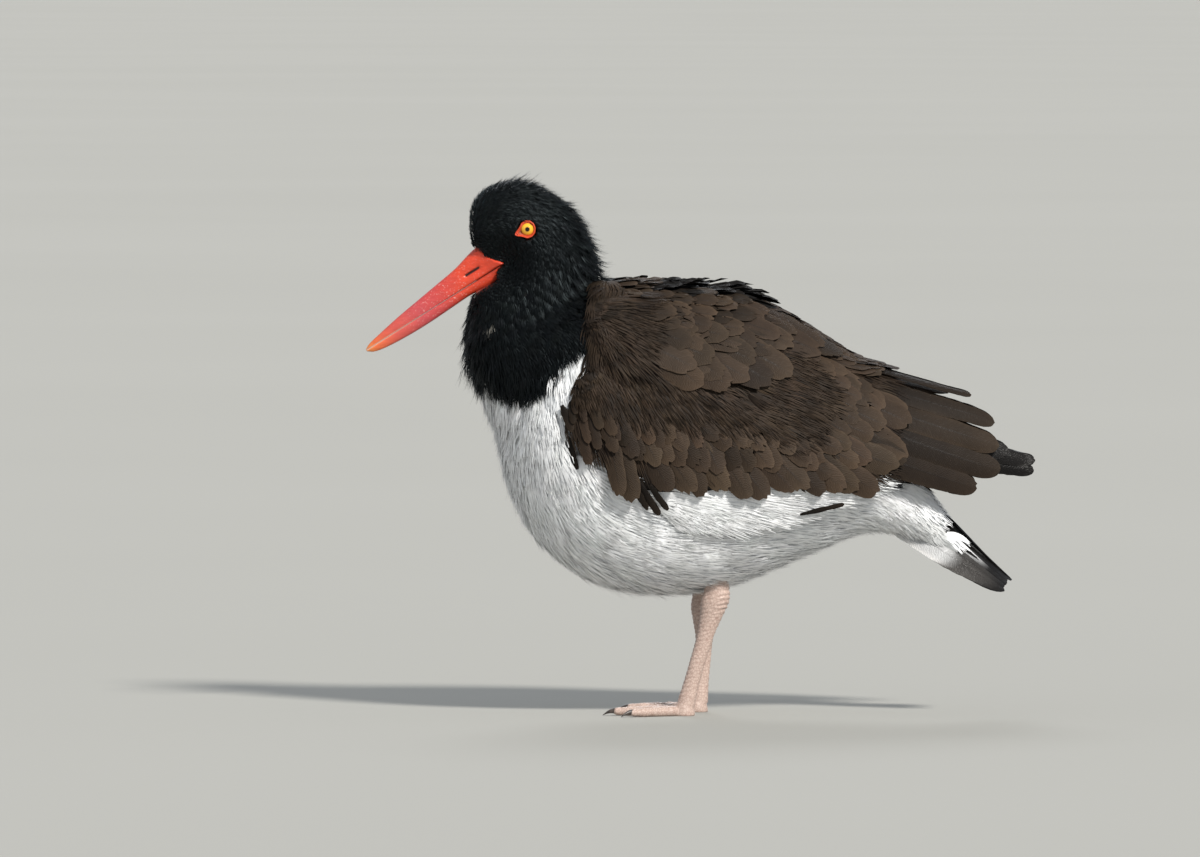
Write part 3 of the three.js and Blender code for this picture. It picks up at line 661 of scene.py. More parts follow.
def add_vanes(plumage, shafts, stops, length, half, columns, base, tip, roll, tint, places, rng,
              outline=round_outline, camber=0.07, fray=0.05, thick=0.0, under=(1.0, 1.0, 1.0), dark_root_and_shade=0.6):
    """Firm feathers: each a grid along the shaft and across the vane.

    A column at v = sin(a) lies v * half * outline(u) from the shaft and ends 1.45 half (1 - cos(a)) short of the
    tip, which rounds it; fray shortens columns at random. The vane drops by camber v^2, turns by roll about the
    shaft, and rises from base to tip as u^1.3. With a thickness, a second grid faces down. The tint darkens
    towards the root, mostly painted shade under the overlapping feathers and partly their own darker bases.
    """
    point, normal, way = shafts
    n, rows = point.shape[:2]
    u = np.asarray(stops)
    v = vane_columns(columns)
    edge = np.abs(v) ** 3
    notch = np.minimum(fray * (rng.random((n, rows, 1)) + (rng.random((n, rows, 1)) > 0.85)), 0.22)
    ragged = 1 - notch * edge
    across = half[:, None, None] * outline(u)[None, :, None] * v * ragged
    worn = 1.3 * fray * np.abs(rng.normal(0, 1, (n, columns)))
    short = half[:, None] * (1.45 * (1 - np.sqrt(1 - v**2)) + worn)
    slide = -np.minimum(short, 0.6 * length[:, None])[:, None] * u[None, :, None]
    height = base[:, None] + (tip - base)[:, None] * u**1.3
    height = height[..., None] - camber * np.abs(v) ** 2 * (half[:, None] * outline(u))[..., None]
    height = height + np.sin(roll)[:, None, None] * across + 0.14 * (1 - np.abs(v)) ** 6 - slide**2 / 130
    side = np.cross(normal, way)[:, :, None]
    grid = point[:, :, None] + side * across[..., None]
    grid = grid + normal[:, :, None] * height[..., None] + way[:, :, None] * slide[..., None]
    vane = np.empty((n, rows, columns, 2))
    vane[..., 0] = v * 0.5 + 0.5
    vane[..., 1] = u[None, :, None]
    barb = u[None, :, None] * length[:, None, None] + slide - 1.1 * np.abs(across)
    patch = np.stack(np.broadcast_arrays(v * 0.5, (u - 0.5)[:, None]), -1) * BAKE_PATCH
    bake = places[:, None, None] + patch
    # Painted shade: the tint darkens towards the root, mostly for the shade under overlapping feathers, partly
    # for their darker bases.
    tint = tint * (1 - dark_root_and_shade * ease(0.75, 0.25, u))[None, :, None, None]
    lean = rng.normal(0, 0.05, (n, 1, 1, 3)) - np.sin(roll)[:, None, None, None] * side
    shaded = unit(normal[:, :, None] + 0.3 * v[:, None] * side + lean)
    plumage.add(grid, vane, bake, tint, barb, shaded)
    if thick > 0:
        lower = (grid - normal[:, :, None] * thick, vane, bake, tint * np.array(under), barb, -shaded)
        plumage.add(*(part[:, :, ::-1] for part in lower))


def vane_columns(columns):
    """Places of a vane's columns across it, from -1 to 1, closer together at the edges."""
    return np.sin(np.linspace(-0.5, 0.5, columns) * np.pi)


def vane_stops(rows):
    """Rows that lie closer together towards the tip."""
    return 1 - (1 - np.linspace(0, 1, rows)) ** 1.5


def side_heading(degrees, sway=0.0, back=False):
    """Heading in the side view, degrees up from straight back, with a sway to the side; or its opposite."""
    angle = np.radians(np.asarray(degrees, float))
    steady = np.stack([np.cos(angle), np.broadcast_to(sway, angle.shape), np.sin(angle)], -1)
    return lambda point, flow: -steady if back else steady


def jittered(colour, rng, n, spread=0.12, hue=0.012):
    """n tints round a colour: one factor of brightness and a small one for each channel."""
    tone = np.clip(rng.normal(1, spread, (n, 1)), 0.55, 1.5) * rng.normal(1, hue, (n, 3))
    return np.clip(np.asarray(colour[:3])[None] * tone, 0, 1)


def side_rng(seed, side):
    """Random numbers of one side: the left takes the seed, the right the next one."""
    return np.random.default_rng(seed + list(SIDES).index(side))


def colour_setting(name, description, default):
    return bpy.props.FloatVectorProperty(
        name=name, description=description, default=default, size=3, min=0, max=1, subtype="COLOR")


def length_setting(name, description, millimetres):
    return bpy.props.FloatProperty(name=name, description=description, default=millimetres * MM, unit="LENGTH")


class BirdColours(bpy.types.PropertyGroup):
    """Colours of plumage, horn and skin, in linear light."""

    black: colour_setting("Black", "Head and neck feathers", (0.0032, 0.0036, 0.0038))
    white: colour_setting("White", "Breast, belly and rump feathers", (0.86, 0.87, 0.88))
    brown: colour_setting("Brown", "Back and wing feathers", (0.031, 0.0205, 0.0132))
    dark: colour_setting("Dark", "Primaries and tail feathers", (0.0042, 0.0037, 0.0035))
    horn: colour_setting("Horn", "Bill near its root", (0.6, 0.05, 0.019))
    skin: colour_setting("Leg skin", "Shanks and toes", (0.5, 0.385, 0.33))
    iris: colour_setting("Iris", "Golden part of the eye", (0.8, 0.42, 0.03))


class BirdSizes(bpy.types.PropertyGroup):
    """Sizes of the coat and the camera's place."""

    face_spacing: length_setting("Face spacing", "Distance between tufts on the face", 1.35)
    neck_spacing: length_setting("Neck spacing", "Distance between tufts on the neck", 2.9)
    white_spacing: length_setting("White spacing", "Distance between tufts on breast and belly", 4.0)
    coat_depth: length_setting("Coat depth", "Depth of the skin under the body's plumage", 6.0)
    camera_distance: length_setting("Camera distance", "Distance from the camera to the bird", 8000.0)
    camera_rise: bpy.props.FloatProperty(
        name="Camera rise", description="Angle of the camera over level", default=math.radians(2.0),
        subtype="ANGLE")


def link(tree, source, target):
    tree.links.new(source, target)


def maths(tree, operation, a, b=None, c=None, clamp=False):
    """A Math node on values or sockets; its result."""
    node = tree.nodes.new("ShaderNodeMath")
    node.operation = operation
    node.use_clamp = clamp
    for target, value in zip(node.inputs, (a, b, c)):
        if isinstance(value, (int, float)):
            target.default_value = value
        elif value is not None:
            link(tree, value, target)
    return node.outputs[0]


def mixed(tree, share, a, b, blend="MIX"):
    """A colour Mix node; a and b are sockets or colours."""
    node = tree.nodes.new("ShaderNodeMix")
    node.data_type = "RGBA"
    node.blend_type = blend
    for name, kind, value in (("Factor", "VALUE", share), ("A", "RGBA", a), ("B", "RGBA", b)):
        target = next(i for i in node.inputs if i.name == name and i.type == kind)
        if isinstance(value, (int, float)):
            target.default_value = value
        elif isinstance(value, (tuple, list)):
            target.default_value = (*value[:3], 1)
        else:
            link(tree, value, target)
    return next(o for o in node.outputs if o.type == "RGBA")


def noise(tree, vector, scale, detail, rough=0.55):
    node = tree.nodes.new("ShaderNodeTexNoise")
    for name, value in (("Scale", scale), ("Detail", detail), ("Roughness", rough)):
        node.inputs[name].default_value = value
    link(tree, vector, node.inputs["Vector"])
    return node.outputs["Fac"]


def varied(tree, vector, scale, detail, span, low):
    """Noise stretched to run from low to low + span."""
    return maths(tree, "MULTIPLY_ADD", noise(tree, vector, scale, detail), span, low)


def own_place(tree):
    """Places in the piece's own frame."""
    return tree.nodes.new("ShaderNodeTexCoord").outputs["Object"]


def map_parts(tree, name):
    """Both values of the piece's own map of that name."""
    source = tree.nodes.new("ShaderNodeUVMap")
    source.uv_map = name
    parts = tree.nodes.new("ShaderNodeSeparateXYZ")
    link(tree, source.outputs["UV"], parts.inputs[0])
    return parts.outputs[0], parts.outputs[1]


def ramp(tree, value, stops):
    """A colour ramp from (place, colour) pairs."""
    node = tree.nodes.new("ShaderNodeValToRGB")
    elements = node.color_ramp.elements
    while len(elements) < len(stops):
        elements.new(0.5)
    for element, (at, colour) in zip(elements, stops):
        element.position = at
        element.color = (*colour[:3], 1)
    link(tree, value, node.inputs["Fac"])
    return node.outputs["Color"]


def vane_pattern_group():
    """Group: streaks, pale edge, dark shaft and blotches of a feather, from map and barb distance."""
    name = "Vane pattern"
    if name in bpy.data.node_groups:
        return bpy.data.node_groups[name]
    group = bpy.data.node_groups.new(name, "ShaderNodeTree")
    group.interface.new_socket(name="Streak size", in_out="INPUT", socket_type="NodeSocketFloat")
    for out in ("Streak", "Edge", "Shaft", "Blotch"):
        group.interface.new_socket(name=out, in_out="OUTPUT", socket_type="NodeSocketFloat")
    source = group.nodes.new("NodeGroupInput")
    result = group.nodes.new("NodeGroupOutput")
    v, u = map_parts(group, "Vane")
    coords = own_place(group)
    across = maths(group, "ABSOLUTE", maths(group, "MULTIPLY_ADD", v, 2.0, -1.0))
    rough = noise(group, coords, 420, 2.0)
    barb = maths(group, "DIVIDE", attribute(group, "Barb", "Fac"), source.outputs[0])
    wave = maths(group, "MULTIPLY", maths(group, "MULTIPLY_ADD", rough, 3.0, barb), 2 * math.pi)
    streak = maths(group, "MULTIPLY_ADD", maths(group, "SINE", wave), 0.5, 0.5)
    edge = maths(group, "MAXIMUM", maths(group, "POWER", across, 4.0), maths(group, "POWER", u, 10.0), clamp=True)
    edge = maths(group, "MULTIPLY", edge, maths(group, "MULTIPLY_ADD", rough, 1.6, 0.1), clamp=True)
    shaft = maths(group, "SUBTRACT", 1.0, maths(group, "DIVIDE", across, 0.1), clamp=True)
    shaft = maths(group, "MULTIPLY", shaft, maths(group, "MULTIPLY_ADD", u, -5.0, 4.75, clamp=True))
    blotch = noise(group, coords, 95, 4.0)
    for value, target in zip((streak, edge, shaft, blotch), result.inputs):
        link(group, value, target)
    return group


def new_material(name, roughness, **sockets):
    """A Principled material, its own sockets set; returns material, tree and shader."""
    material = bpy.data.materials.new(name)
    material.use_nodes = True
    tree = material.node_tree
    shader = tree.nodes["Principled BSDF"]
    shader.inputs["Roughness"].default_value = roughness
    for key, value in sockets.items():
        shader.inputs[key.replace("_", " ")].default_value = value
    return material, tree, shader


def attribute(tree, name, output="Color"):
    node = tree.nodes.new("ShaderNodeAttribute")
    node.attribute_name = name
    return node.outputs[output]


def bumped(tree, shader, height, strength, distance):
    node = tree.nodes.new("ShaderNodeBump")
    node.inputs["Strength"].default_value = strength
    node.inputs["Distance"].default_value = distance
    link(tree, height, node.inputs["Height"])
    link(tree, node.outputs["Normal"], shader.inputs["Normal"])


def soft_material(name, roughness, **sockets):
    """Soft feathers: their tint, with a fine mottle of light and dark barbs."""
    if name in bpy.data.materials:
        return bpy.data.materials[name]
    material, tree, shader = new_material(name, roughness, **sockets)
    coords = own_place(tree)
    mottle = varied(tree, coords, 260, 3.0, 0.5, 0.75)
    link(tree, mixed(tree, 1.0, attribute(tree, "Tint"), mottle, "MULTIPLY"), shader.inputs["Base Color"])
    link(tree, varied(tree, coords, 900, 2.0, 0.3, roughness - 0.15), shader.inputs["Roughness"])
    return material


def vane_material(name, roughness, pale, edge_share, streak_size, shaft_share, **sockets):
    """Firm feathers: tint, barb streaks, a dark glossy shaft and a paler worn edge."""
    if name in bpy.data.materials:
        return bpy.data.materials[name]
    material, tree, shader = new_material(name, roughness, **sockets)
    group = tree.nodes.new("ShaderNodeGroup")
    group.node_tree = vane_pattern_group()
    group.inputs["Streak size"].default_value = streak_size
    tint = attribute(tree, "Tint")
    streak, edge, shaft, blotch = group.outputs
    blotched = maths(tree, "MULTIPLY", maths(tree, "MULTIPLY_ADD", streak, 0.26, 0.8),
                     maths(tree, "MULTIPLY_ADD", blotch, 0.7, 0.68))
    ground = mixed(tree, 1.0, tint, blotched, "MULTIPLY")
    worn = mixed(tree, 1.0, tint, pale, "MULTIPLY")
    edged = mixed(tree, maths(tree, "MULTIPLY", edge, edge_share), ground, worn)
    dark = mixed(tree, maths(tree, "MULTIPLY", shaft, shaft_share), edged, (0.01, 0.008, 0.007))
    link(tree, dark, shader.inputs["Base Color"])
    link(tree, maths(tree, "MULTIPLY_ADD", shaft, -0.2, roughness), shader.inputs["Roughness"])
    bumped(tree, shader, streak, 0.35, 0.0003)
    return material


def black_material():
    return soft_material(
        "Black feathers", 0.5, Specular_IOR_Level=0.17, Specular_Tint=(0.72, 0.88, 0.95, 1.0),
        Sheen_Weight=0.05, Sheen_Roughness=0.4, Sheen_Tint=(0.5, 0.75, 0.9, 1.0))


def white_material():
    return soft_material(
        "White feathers", 0.85, Specular_IOR_Level=0.25, Sheen_Weight=0.15, Sheen_Roughness=0.6)


def brown_material():
    return vane_material("Brown feathers", 0.62, (2.0, 2.0, 1.95), 0.6, 1.25, 0.45, Specular_IOR_Level=0.14,
                         Sheen_Weight=0.02, Sheen_Roughness=0.5)


def soft_brown_material():
    return soft_material("Soft brown feathers", 0.65, Specular_IOR_Level=0.14)


def dark_material():
    return vane_material("Dark feathers", 0.42, (2.2, 2.1, 2.0), 0.4, 1.6, 0.3, Specular_IOR_Level=0.16)


def settings():
    scene = bpy.context.scene
    return scene.bird_colours, scene.bird_sizes


def skin_depth(points):
    """Depth of the skin under the plumage: thin on the face, thicker down the neck and body."""
    x, z = points[..., 0], points[..., 2]
    face = ease(90, 18, np.hypot(x + 112, z - 250))
    body = settings()[1].coat_depth / MM
    return body + (1.7 - body) * np.clip(face * 1.35, 0, 1)


def skin_points():
    """Rings of the skin: the body form pulled in by the coat's depth, narrower than the bill at its root."""
    t = np.concatenate([np.linspace(0.0, 0.3, 90), np.linspace(0.3, 1.0, 110)[1:]])
    turn = np.linspace(-np.pi, np.pi, 97)[:-1]
    p, q = np.meshgrid(t, turn, indexing="ij")
    point, _, _, normal = BODY.frame(p, q)
    depth = np.minimum(skin_depth(point), 0.45 * np.maximum(body_line([4], p)[..., 0], 1))
    inner = point - normal * depth[..., None]
    along, _ = bill_places(inner)
    bill = read_table(BILL_HALF_WIDTH, along)[..., 0] - 1.6
    narrow = np.sign(inner[..., 1]) * np.minimum(np.abs(inner[..., 1]), np.maximum(bill * 0.8, 1))
    share = bare_face(inner, 1.0)
    inner[..., 1] = inner[..., 1] * (1 - share) + narrow * share
    socket_share = ease(EYE["radius"] + 1.6, EYE["radius"] - 0.2, eye_distance(inner))
    inner[..., 1] -= np.sign(inner[..., 1]) * 4.2 * socket_share * (np.abs(inner[..., 1]) > 8)
    return inner


def leg_mesh(side):
    """Leg, pad and toes of one side: ovals along their middle lines, melted together, with raised scales."""
    sign = SIDES[side]
    turn = np.linspace(0, 2 * np.pi, 33)[:-1]
    height = np.linspace(92, 5, 120)
    x, deep, wide = leg_line(side, height)
    ring = np.stack([
        x[:, None] + deep[:, None] * np.cos(turn),
        sign * LEG_Y + wide[:, None] * np.sin(turn),
        np.broadcast_to(height[:, None], (len(height), len(turn))),
    ], -1)
    parts = [tube_mesh("leg", ring[:, ::-1])]
    foot = foot_place(side)
    level = np.linspace(0, 8.2, 12)
    swell = np.sqrt(1 - (level / 9.5) ** 2)
    pad = np.stack([
        foot[0] + 6.0 * swell[:, None] * np.cos(turn),
        foot[1] + 5.6 * swell[:, None] * np.sin(turn),
        np.broadcast_to(level[:, None], (len(level), len(turn))),
    ], -1)
    parts.append(tube_mesh("pad", pad))
    for heading, length, radius in TOES.values():
        toe = toe_rings(foot, math.radians(heading) * sign, TOE_ROOT + length, radius)
        parts.append(tube_mesh("toe", toe))
    parts.append(tube_mesh("web", toe_rings(foot, math.radians(14) * sign, 16.5, 3.0, 0.62)))
    whole = place(parts[0], None)
    others = [place(part, None) for part in parts[1:]]
    melt(whole, others)
    points = vertices_of(whole.data)
    normals = np.empty(len(whole.data.vertices) * 3, np.float32)
    whole.data.vertices.foreach_get("normal", normals)
    points += normals.reshape(-1, 3) * scale_relief(points, side)[:, None]
    points[:, 2] = np.maximum(points[:, 2], 0)
    whole.data.vertices.foreach_set("co", (points * MM).astype(np.float32).ravel())
    whole.data.update()
    return whole


def toe_rings(foot, turn, end, radius, flat=1.0):
    """A toe along its heading: radius swells at three joints, narrows to the claw, and its sole is level."""
    s = np.linspace(0, 1, 40)
    around = np.linspace(0, 2 * np.pi, 17)[:-1]
    away = end * s
    size = radius * (1 - 0.3 * s**1.4) * (1 + 0.07 * np.cos(s * 2 * np.pi * 4))
    size = size * np.sqrt(np.clip(1 - ((s - 0.9) / 0.102).clip(0) ** 2, 0.05, 1))
    forward, across = toe_axes(turn)
    middle = np.array([*foot, 0.0]) + forward * away[:, None]
    middle[:, 2] = TOE_HEIGHT * flat
    ring = middle[:, None] + (size[:, None] * np.cos(around))[..., None] * across * 1.08
    ring[..., 2] += flat * size[:, None] * np.sin(around)
    ring[..., 2] = np.maximum(ring[..., 2], 0)
    return ring[:, ::-1]


def melt(whole, others):
    """Joins closed meshes into one skin: a fine voxel remesh, then a little smoothing."""
    for k, other in enumerate(others):
        union = whole.modifiers.new(f"union{k}", "BOOLEAN")
        union.operation = "UNION"
        union.solver = "EXACT"
        union.object = other
    remesh = whole.modifiers.new("remesh", "REMESH")
    remesh.mode = "VOXEL"
    remesh.voxel_size = 0.55 * MM
    smooth = whole.modifiers.new("smooth", "SMOOTH")
    smooth.factor = 0.5
    smooth.iterations = 4
    settle(whole)
    for other in others:
        bpy.data.objects.remove(other)


def settle(piece):
    """Applies a piece's modifiers to its mesh."""
    bpy.context.view_layer.update()
    evaluated = piece.evaluated_get(bpy.context.evaluated_depsgraph_get())
    mesh = bpy.data.meshes.new_from_object(evaluated)
    piece.modifiers.clear()
    piece.data = mesh


def scale_relief(points, side):
    """Height of the scales: broad bands down the shank's front and over the toes, small beads at the back."""
    x, y, z = points.T
    foot = foot_place(side)
    turn = np.arctan2((y - foot[1]) * 1.3, x - leg_line(side, z)[0])
    front = ease(0.35, -0.55, np.cos(turn))
    band = (z + 0.5 * np.cos(turn * 2)) / 2.5
    plates = 0.42 * (1 - np.abs(2 * (band % 1) - 1) ** 5) - 0.25
    row = np.floor(z / 1.7)
    beads = 0.26 * np.sin(z / 1.7 * np.pi) ** 2 * (0.5 + 0.5 * np.cos(turn * 9 + row * np.pi)) - 0.06
    shank = (front * plates + (1 - front) * beads) * ease(7, 11, z) * ease(84, 78, z)
    away = np.hypot(x - foot[0], y - foot[1])
    toe = (0.32 * (1 - np.abs(2 * (away / 2.1 % 1) - 1) ** 5) - 0.2) * ease(5, 9, away) * ease(1.2, 3.2, z)
    wrinkles = 0.26 * np.sin(z * 2.4 + np.sin(turn * 3)) * ease(54, 58, z) * ease(70, 66, z)
    wrinkles = wrinkles * ease(-0.2, 0.6, np.cos(turn))
    return shank + toe * ease(12, 8, z) + wrinkles


def skin_tint(points):
    """Colour of the skin at each point: plumage colours under the feathers, pink where the legs are bare."""
    colours = settings()[0]
    black, white = np.array(colours.black), np.array(colours.white)
    leg, horn = np.array(colours.skin), np.array(colours.horn)
    x, z = points[:, 0], points[:, 2]
    tint = np.where(black_share(points)[:, None] > 0.5, black, white * 0.85)
    roofed = (z > 176) & (x > -48)
    tint = np.where(roofed[:, None], np.array(colours.brown) * 0.6, tint)
    low = ease(84, 80, z)[:, None]
    tint = tint * (1 - low) + leg * low
    gape = (bare_face(points) * (x < -100))[:, None]
    return tint * (1 - gape) + horn * 0.8 * gape


def build_skin():
    skin = place(tube_mesh("skin", skin_points()), None)
    for side in SIDES:
        leg = leg_mesh(side)
        union = skin.modifiers.new(side, "BOOLEAN")
        union.operation = "UNION"
        union.solver = "EXACT"
        union.object = leg
        settle(skin)
        bpy.data.objects.remove(leg)
    skin.data.name = "skin"
    add_tint(skin.data, skin_tint(vertices_of(skin.data)))
    skin.data.polygons.foreach_set("use_smooth", np.ones(len(skin.data.polygons), bool))
    skin.data.materials.clear()
    skin.data.materials.append(skin_material())
    nodes = ["head", "neck", "breast", "trunk", "rump"]
    for side in SIDES:
        nodes += [f"{part}_{side}" for part in ("thigh", "shank", "tarsus", "foot")]
        nodes += [f"toe_{toe}_{side}" for toe in TOES]
    declare(skin, "leg_skin", *nodes)


def skin_material():
    """Skin: its tint, with painted shade in the creases between scales on the legs, and a dull shine."""
    material, tree, shader = new_material("Skin", 0.5, Specular_IOR_Level=0.4, Subsurface_Weight=0.0)
    coords = own_place(tree)
    height = tree.nodes.new("ShaderNodeSeparateXYZ")
    link(tree, coords, height.inputs[0])
    leg = maths(tree, "SUBTRACT", 1.0, maths(tree, "GREATER_THAN", height.outputs["Z"], 0.083))
    cells = tree.nodes.new("ShaderNodeTexVoronoi")
    cells.feature = "DISTANCE_TO_EDGE"
    cells.inputs["Scale"].default_value = 620
    link(tree, coords, cells.inputs["Vector"])
    # Painted shade: the skin is darkened in the creases between the leg's scales.
    crease_shade = maths(tree, "SUBTRACT", 1.0, maths(tree, "MULTIPLY", cells.outputs["Distance"], 5.0), clamp=True)
    crease_shade = maths(tree, "MULTIPLY", maths(tree, "POWER", crease_shade, 2.0), maths(tree, "MULTIPLY", leg, 0.6))
    blotch = varied(tree, coords, 140, 4.0, 0.5, 0.75)
    tint = mixed(tree, 1.0, attribute(tree, "Tint"), blotch, "MULTIPLY")
    dark = mixed(tree, crease_shade, tint, mixed(tree, 1.0, attribute(tree, "Tint"), (0.5, 0.36, 0.34), "MULTIPLY"))
    link(tree, dark, shader.inputs["Base Color"])
    link(tree, varied(tree, coords, 400, 2.0, 0.25, 0.38), shader.inputs["Roughness"])
    bumped(tree, shader, maths(tree, "SUBTRACT", 1.0, crease_shade), 0.35, 0.0002)
    return material


def grow_black(name, region, spacing, size, barbs, rows, hair, seed, t_span):
    """Black tufts over a stretch of the body form, lying back from the bill and a little down."""
    rng = np.random.default_rng(seed)

    def density(point):
        open_face = 1 - bare_face(point)
        no_eye = (eye_distance(point, -0.9) > EYELID["outer"] + 0.9) | (np.abs(point[..., 1]) < 9)
        return open_face * no_eye * region(point) / spacing(point) ** 2

    t, turn = scatter(BODY, t_span, (-np.pi, np.pi), density)
    n = len(t)
    point = body_point(t, turn)
    length = size(point) * rng.uniform(0.85, 1.15, n)
    near_eye = np.abs(point[:, 1]) > 9
    gap = eye_distance(point) - EYELID["outer"] - 0.3
    ahead = near_eye & (point[:, 0] < EYE["x"]) & (np.abs(point[:, 2] - EYE["z"]) < 6)
    length = np.where(ahead, np.minimum(length, np.maximum(gap, 1.4)), length)
    stops = np.linspace(0, 1, rows)
    sway = rng.normal(0, 0.16, n)
    lean = np.stack([0 * sway, sway, 0 * sway - 0.12], -1)
    shafts, _ = lay_shafts(BODY, t, turn, length, lambda at, flow: flow + lean, stops)
    x, z = point[:, 0], point[:, 2]
    nape = ease(232, 246, z) * ease(-86, -68, x)
    throat = ease(-108, -120, x) * ease(226, 214, z)
    crown = np.exp(-(((x + 97) / 11) ** 2)) * ease(275, 284, z)
    rise = length * (0.05 + 0.16 * nape + 0.07 * throat + 0.22 * crown) * (0.5 + 3.0 * rng.random(n) ** 4)
    sink = np.minimum(skin_depth(point), 0.34 * length)
    tint = jittered(settings()[0].black, rng, n, 0.4, 0.06)
    fleck = (np.hypot(x + 112.5, (z - 213) * 1.6) < 2.4) & (point[:, 1] < 0)
    tint = np.where(fleck[:, None], np.array([0.2, 0.19, 0.17]), tint)
    plumage = Plumage()
    hairs = hair * (0.6 + 0.4 * length / length.max())
    add_tufts(plumage, shafts, stops, length * 0.3, barbs, hairs, sink, rise, tint, body_places(t, turn), rng,
              fluff=0.25, shade=0.35, tones=0.16, dome=0.5)
    declare(plumage.build(name, black_material()), "black_plumage")


def build_head():
    """Head feathers: smallest and closest by the bill."""
    face = settings()[1].face_spacing / MM

    def spacing(point):
        away = np.linalg.norm(point - GAPE, axis=-1)
        return face * (0.85 + 0.75 * ease(10, 70, away))

    def size(point):
        away = np.linalg.norm(point - (GAPE + np.array([-6, 0, 2])), axis=-1)
        return 2.6 + 6.2 * ease(8, 75, away)

    grow_black("head_feathers", lambda p: neck_line(p) > 0, spacing, size, 7, 4, 0.62, 11, (0.0, 0.42))


def neck_line(point):
    """Positive on the head side of a line from throat to nape."""
    return (point[..., 2] - 214) - (point[..., 0] + 126) * 0.6


def build_neck():
    """Neck feathers: longest down the breast, to the bib's border."""
    neck = settings()[1].neck_spacing / MM

    def region(point):
        tip = point + np.array([0.0, 0.0, -8.0])
        return (neck_line(point) < 3) * black_share(tip)

    def size(point):
        return 9.0 + 5.0 * ease(225, 185, point[..., 2])

    grow_black("neck_feathers", region, lambda p: neck + 0 * p[..., 0], size, 11, 5, 0.95, 12, (0.1, 0.62))


def hanging(sway):
    """Heading of the white feathers: with the body, hanging down the breast, each with its own sway."""

    def heading(at, flow):
        lean = flow + sway
        lean[..., 2] -= 1.1 * ease(-35, -85, at[..., 0]) * ease(95, 125, at[..., 2]) + 0.12
        return lean

    return heading


def grow_white(name, region, seed, t_span=(0.25, 1.0)):
    """White tufts over part of the body form, longest on the flanks and belly."""
    colours, sizes = settings()
    rng = np.random.default_rng(seed)
    apart = sizes.white_spacing / MM
    t, turn = scatter(BODY, t_span, (-np.pi, np.pi), lambda point: region(point) / apart**2)
    n = len(t)
    x, y, z = body_point(t, turn).T
    length = (15 + 8 * ease(-110, -20, x)) * rng.uniform(0.8, 1.15, n) * (1 - 0.5 * ease(85, 120, x))
    stops = np.linspace(0, 1, 5)
    shafts, _ = lay_shafts(BODY, t, turn, length, hanging(rng.normal(0, 0.14, (n, 3))), stops)
    rise = 0.6 + 0.9 * ease(-70, -110, x) + 1.3 * ease(90, 70, z) + 0.4 * rng.random(n)
    rise = rise * rng.uniform(0.4, 1.5, n)
    tint = jittered(colours.white, rng, n, 0.03, 0.006)
    plumage = Plumage()
    add_tufts(plumage, shafts, stops, length * 0.3, 11, np.full(n, 1.5), np.full(n, 4.0), rise, tint,
              body_places(t, turn), rng, fluff=0.2, shade=0.08, tones=0.02, twists=0.1, dome=0.3)
    declare(plumage.build(name, white_material()), "white_plumage")
    lay_locks(f"{name}_locks", region, seed + 100, t_span)


def lay_locks(name, region, seed, t_span):
    """White contour feathers over the tufts: broad fans of flat barbs that part only at their ends."""
    rng = np.random.default_rng(seed)
    t, turn = scatter(BODY, t_span, (-np.pi, np.pi), lambda point: region(point) / 7.4**2)
    n = len(t)
    x, y, z = body_point(t, turn).T
    length = (20 + 8 * ease(-110, -20, x)) * rng.uniform(0.8, 1.15, n) * (1 - 0.4 * ease(85, 120, x))
    stops = np.linspace(0, 1, 6)
    shafts, _ = lay_shafts(BODY, t, turn, length, hanging(rng.normal(0, 0.1, (n, 3))), stops)
    tips = 1.3 + 1.4 * ease(95, 72, z) + np.abs(rng.normal(0, 0.6, n))
    half = (5.6 + 1.8 * ease(-110, -40, x)) * rng.uniform(0.85, 1.15, n) * (1 - 0.35 * ease(85, 120, x))
    tint = jittered(settings()[0].white, rng, n, 0.02, 0.004)
    plumage = Plumage()
    add_tufts(plumage, shafts, stops, half, 13, np.full(n, 2.3), np.full(n, 2.8), tips, tint,
              body_places(t, turn), rng, fluff=0.12, shade=0.0, tones=0.012, twists=0.05, dome=0.22)
    declare(plumage.build(name, white_material()), "white_plumage")


def white_share(point):
    """True where the body's own feathers are white: below the bib and clear of wings, mantle and tail."""
    x, z = point[..., 0], point[..., 2]
    ahead = -5 + 4 * ease(176, 188, z)
    covered = wing_covers(point, ahead) | wing_covers(point + np.array([2.0, 0.0, -11.0]), 7.0, 12.0)
    bib = black_share(point + np.array([0.0, 0.0, -7.0])) > 0
    mantled = (x > -46) & (z > 186) | (z >= 203)
    over_tail = (x > 116) & (z > 99) | (x >= 137)
    return ~bib & ~covered & ~mantled & ~over_tail


def build_white():
    grow_white("breast_feathers", lambda p: white_share(p) * (p[..., 0] < -62), 21)
    grow_white("belly_feathers", lambda p: white_share(p) * (p[..., 0] >= -62) * (p[..., 0] < 24), 22)
    grow_white("flank_feathers", lambda p: white_share(p) * (p[..., 0] >= 24), 23)
    for k, side in enumerate(SIDES):
        grow_thigh(side, 24 + k)


def grow_thigh(side, seed):
    """Short white tufts over the top of a leg."""
    rng = np.random.default_rng(seed)
    surface = Surface(thigh_point(side), 0.02, 0.02, -1.0)
    t, turn = scatter(surface, (0.0, 0.62), (-np.pi, np.pi), evenly(2.6), (20, 20))
    n = len(t)
    length = rng.uniform(6, 9.5, n) * (1.1 - 0.45 * t)
    stops = np.linspace(0, 1, 4)
    shafts, _ = lay_shafts(surface, t, turn, length, lambda at, flow: flow, stops)
    plumage = Plumage()
    places = np.stack([0.1 + 0.8 * t, 0.1 + 0.8 * (turn / (2 * np.pi) + 0.5)], -1)
    add_tufts(plumage, shafts, stops, length * 0.28, 7, np.full(n, 0.9), np.full(n, 0.4), np.full(n, 0.9),
              jittered(settings()[0].white, rng, n, 0.03, 0.008), places, rng)
    declare(plumage.build(f"thigh_feathers_{side}", white_material()), "white_plumage")


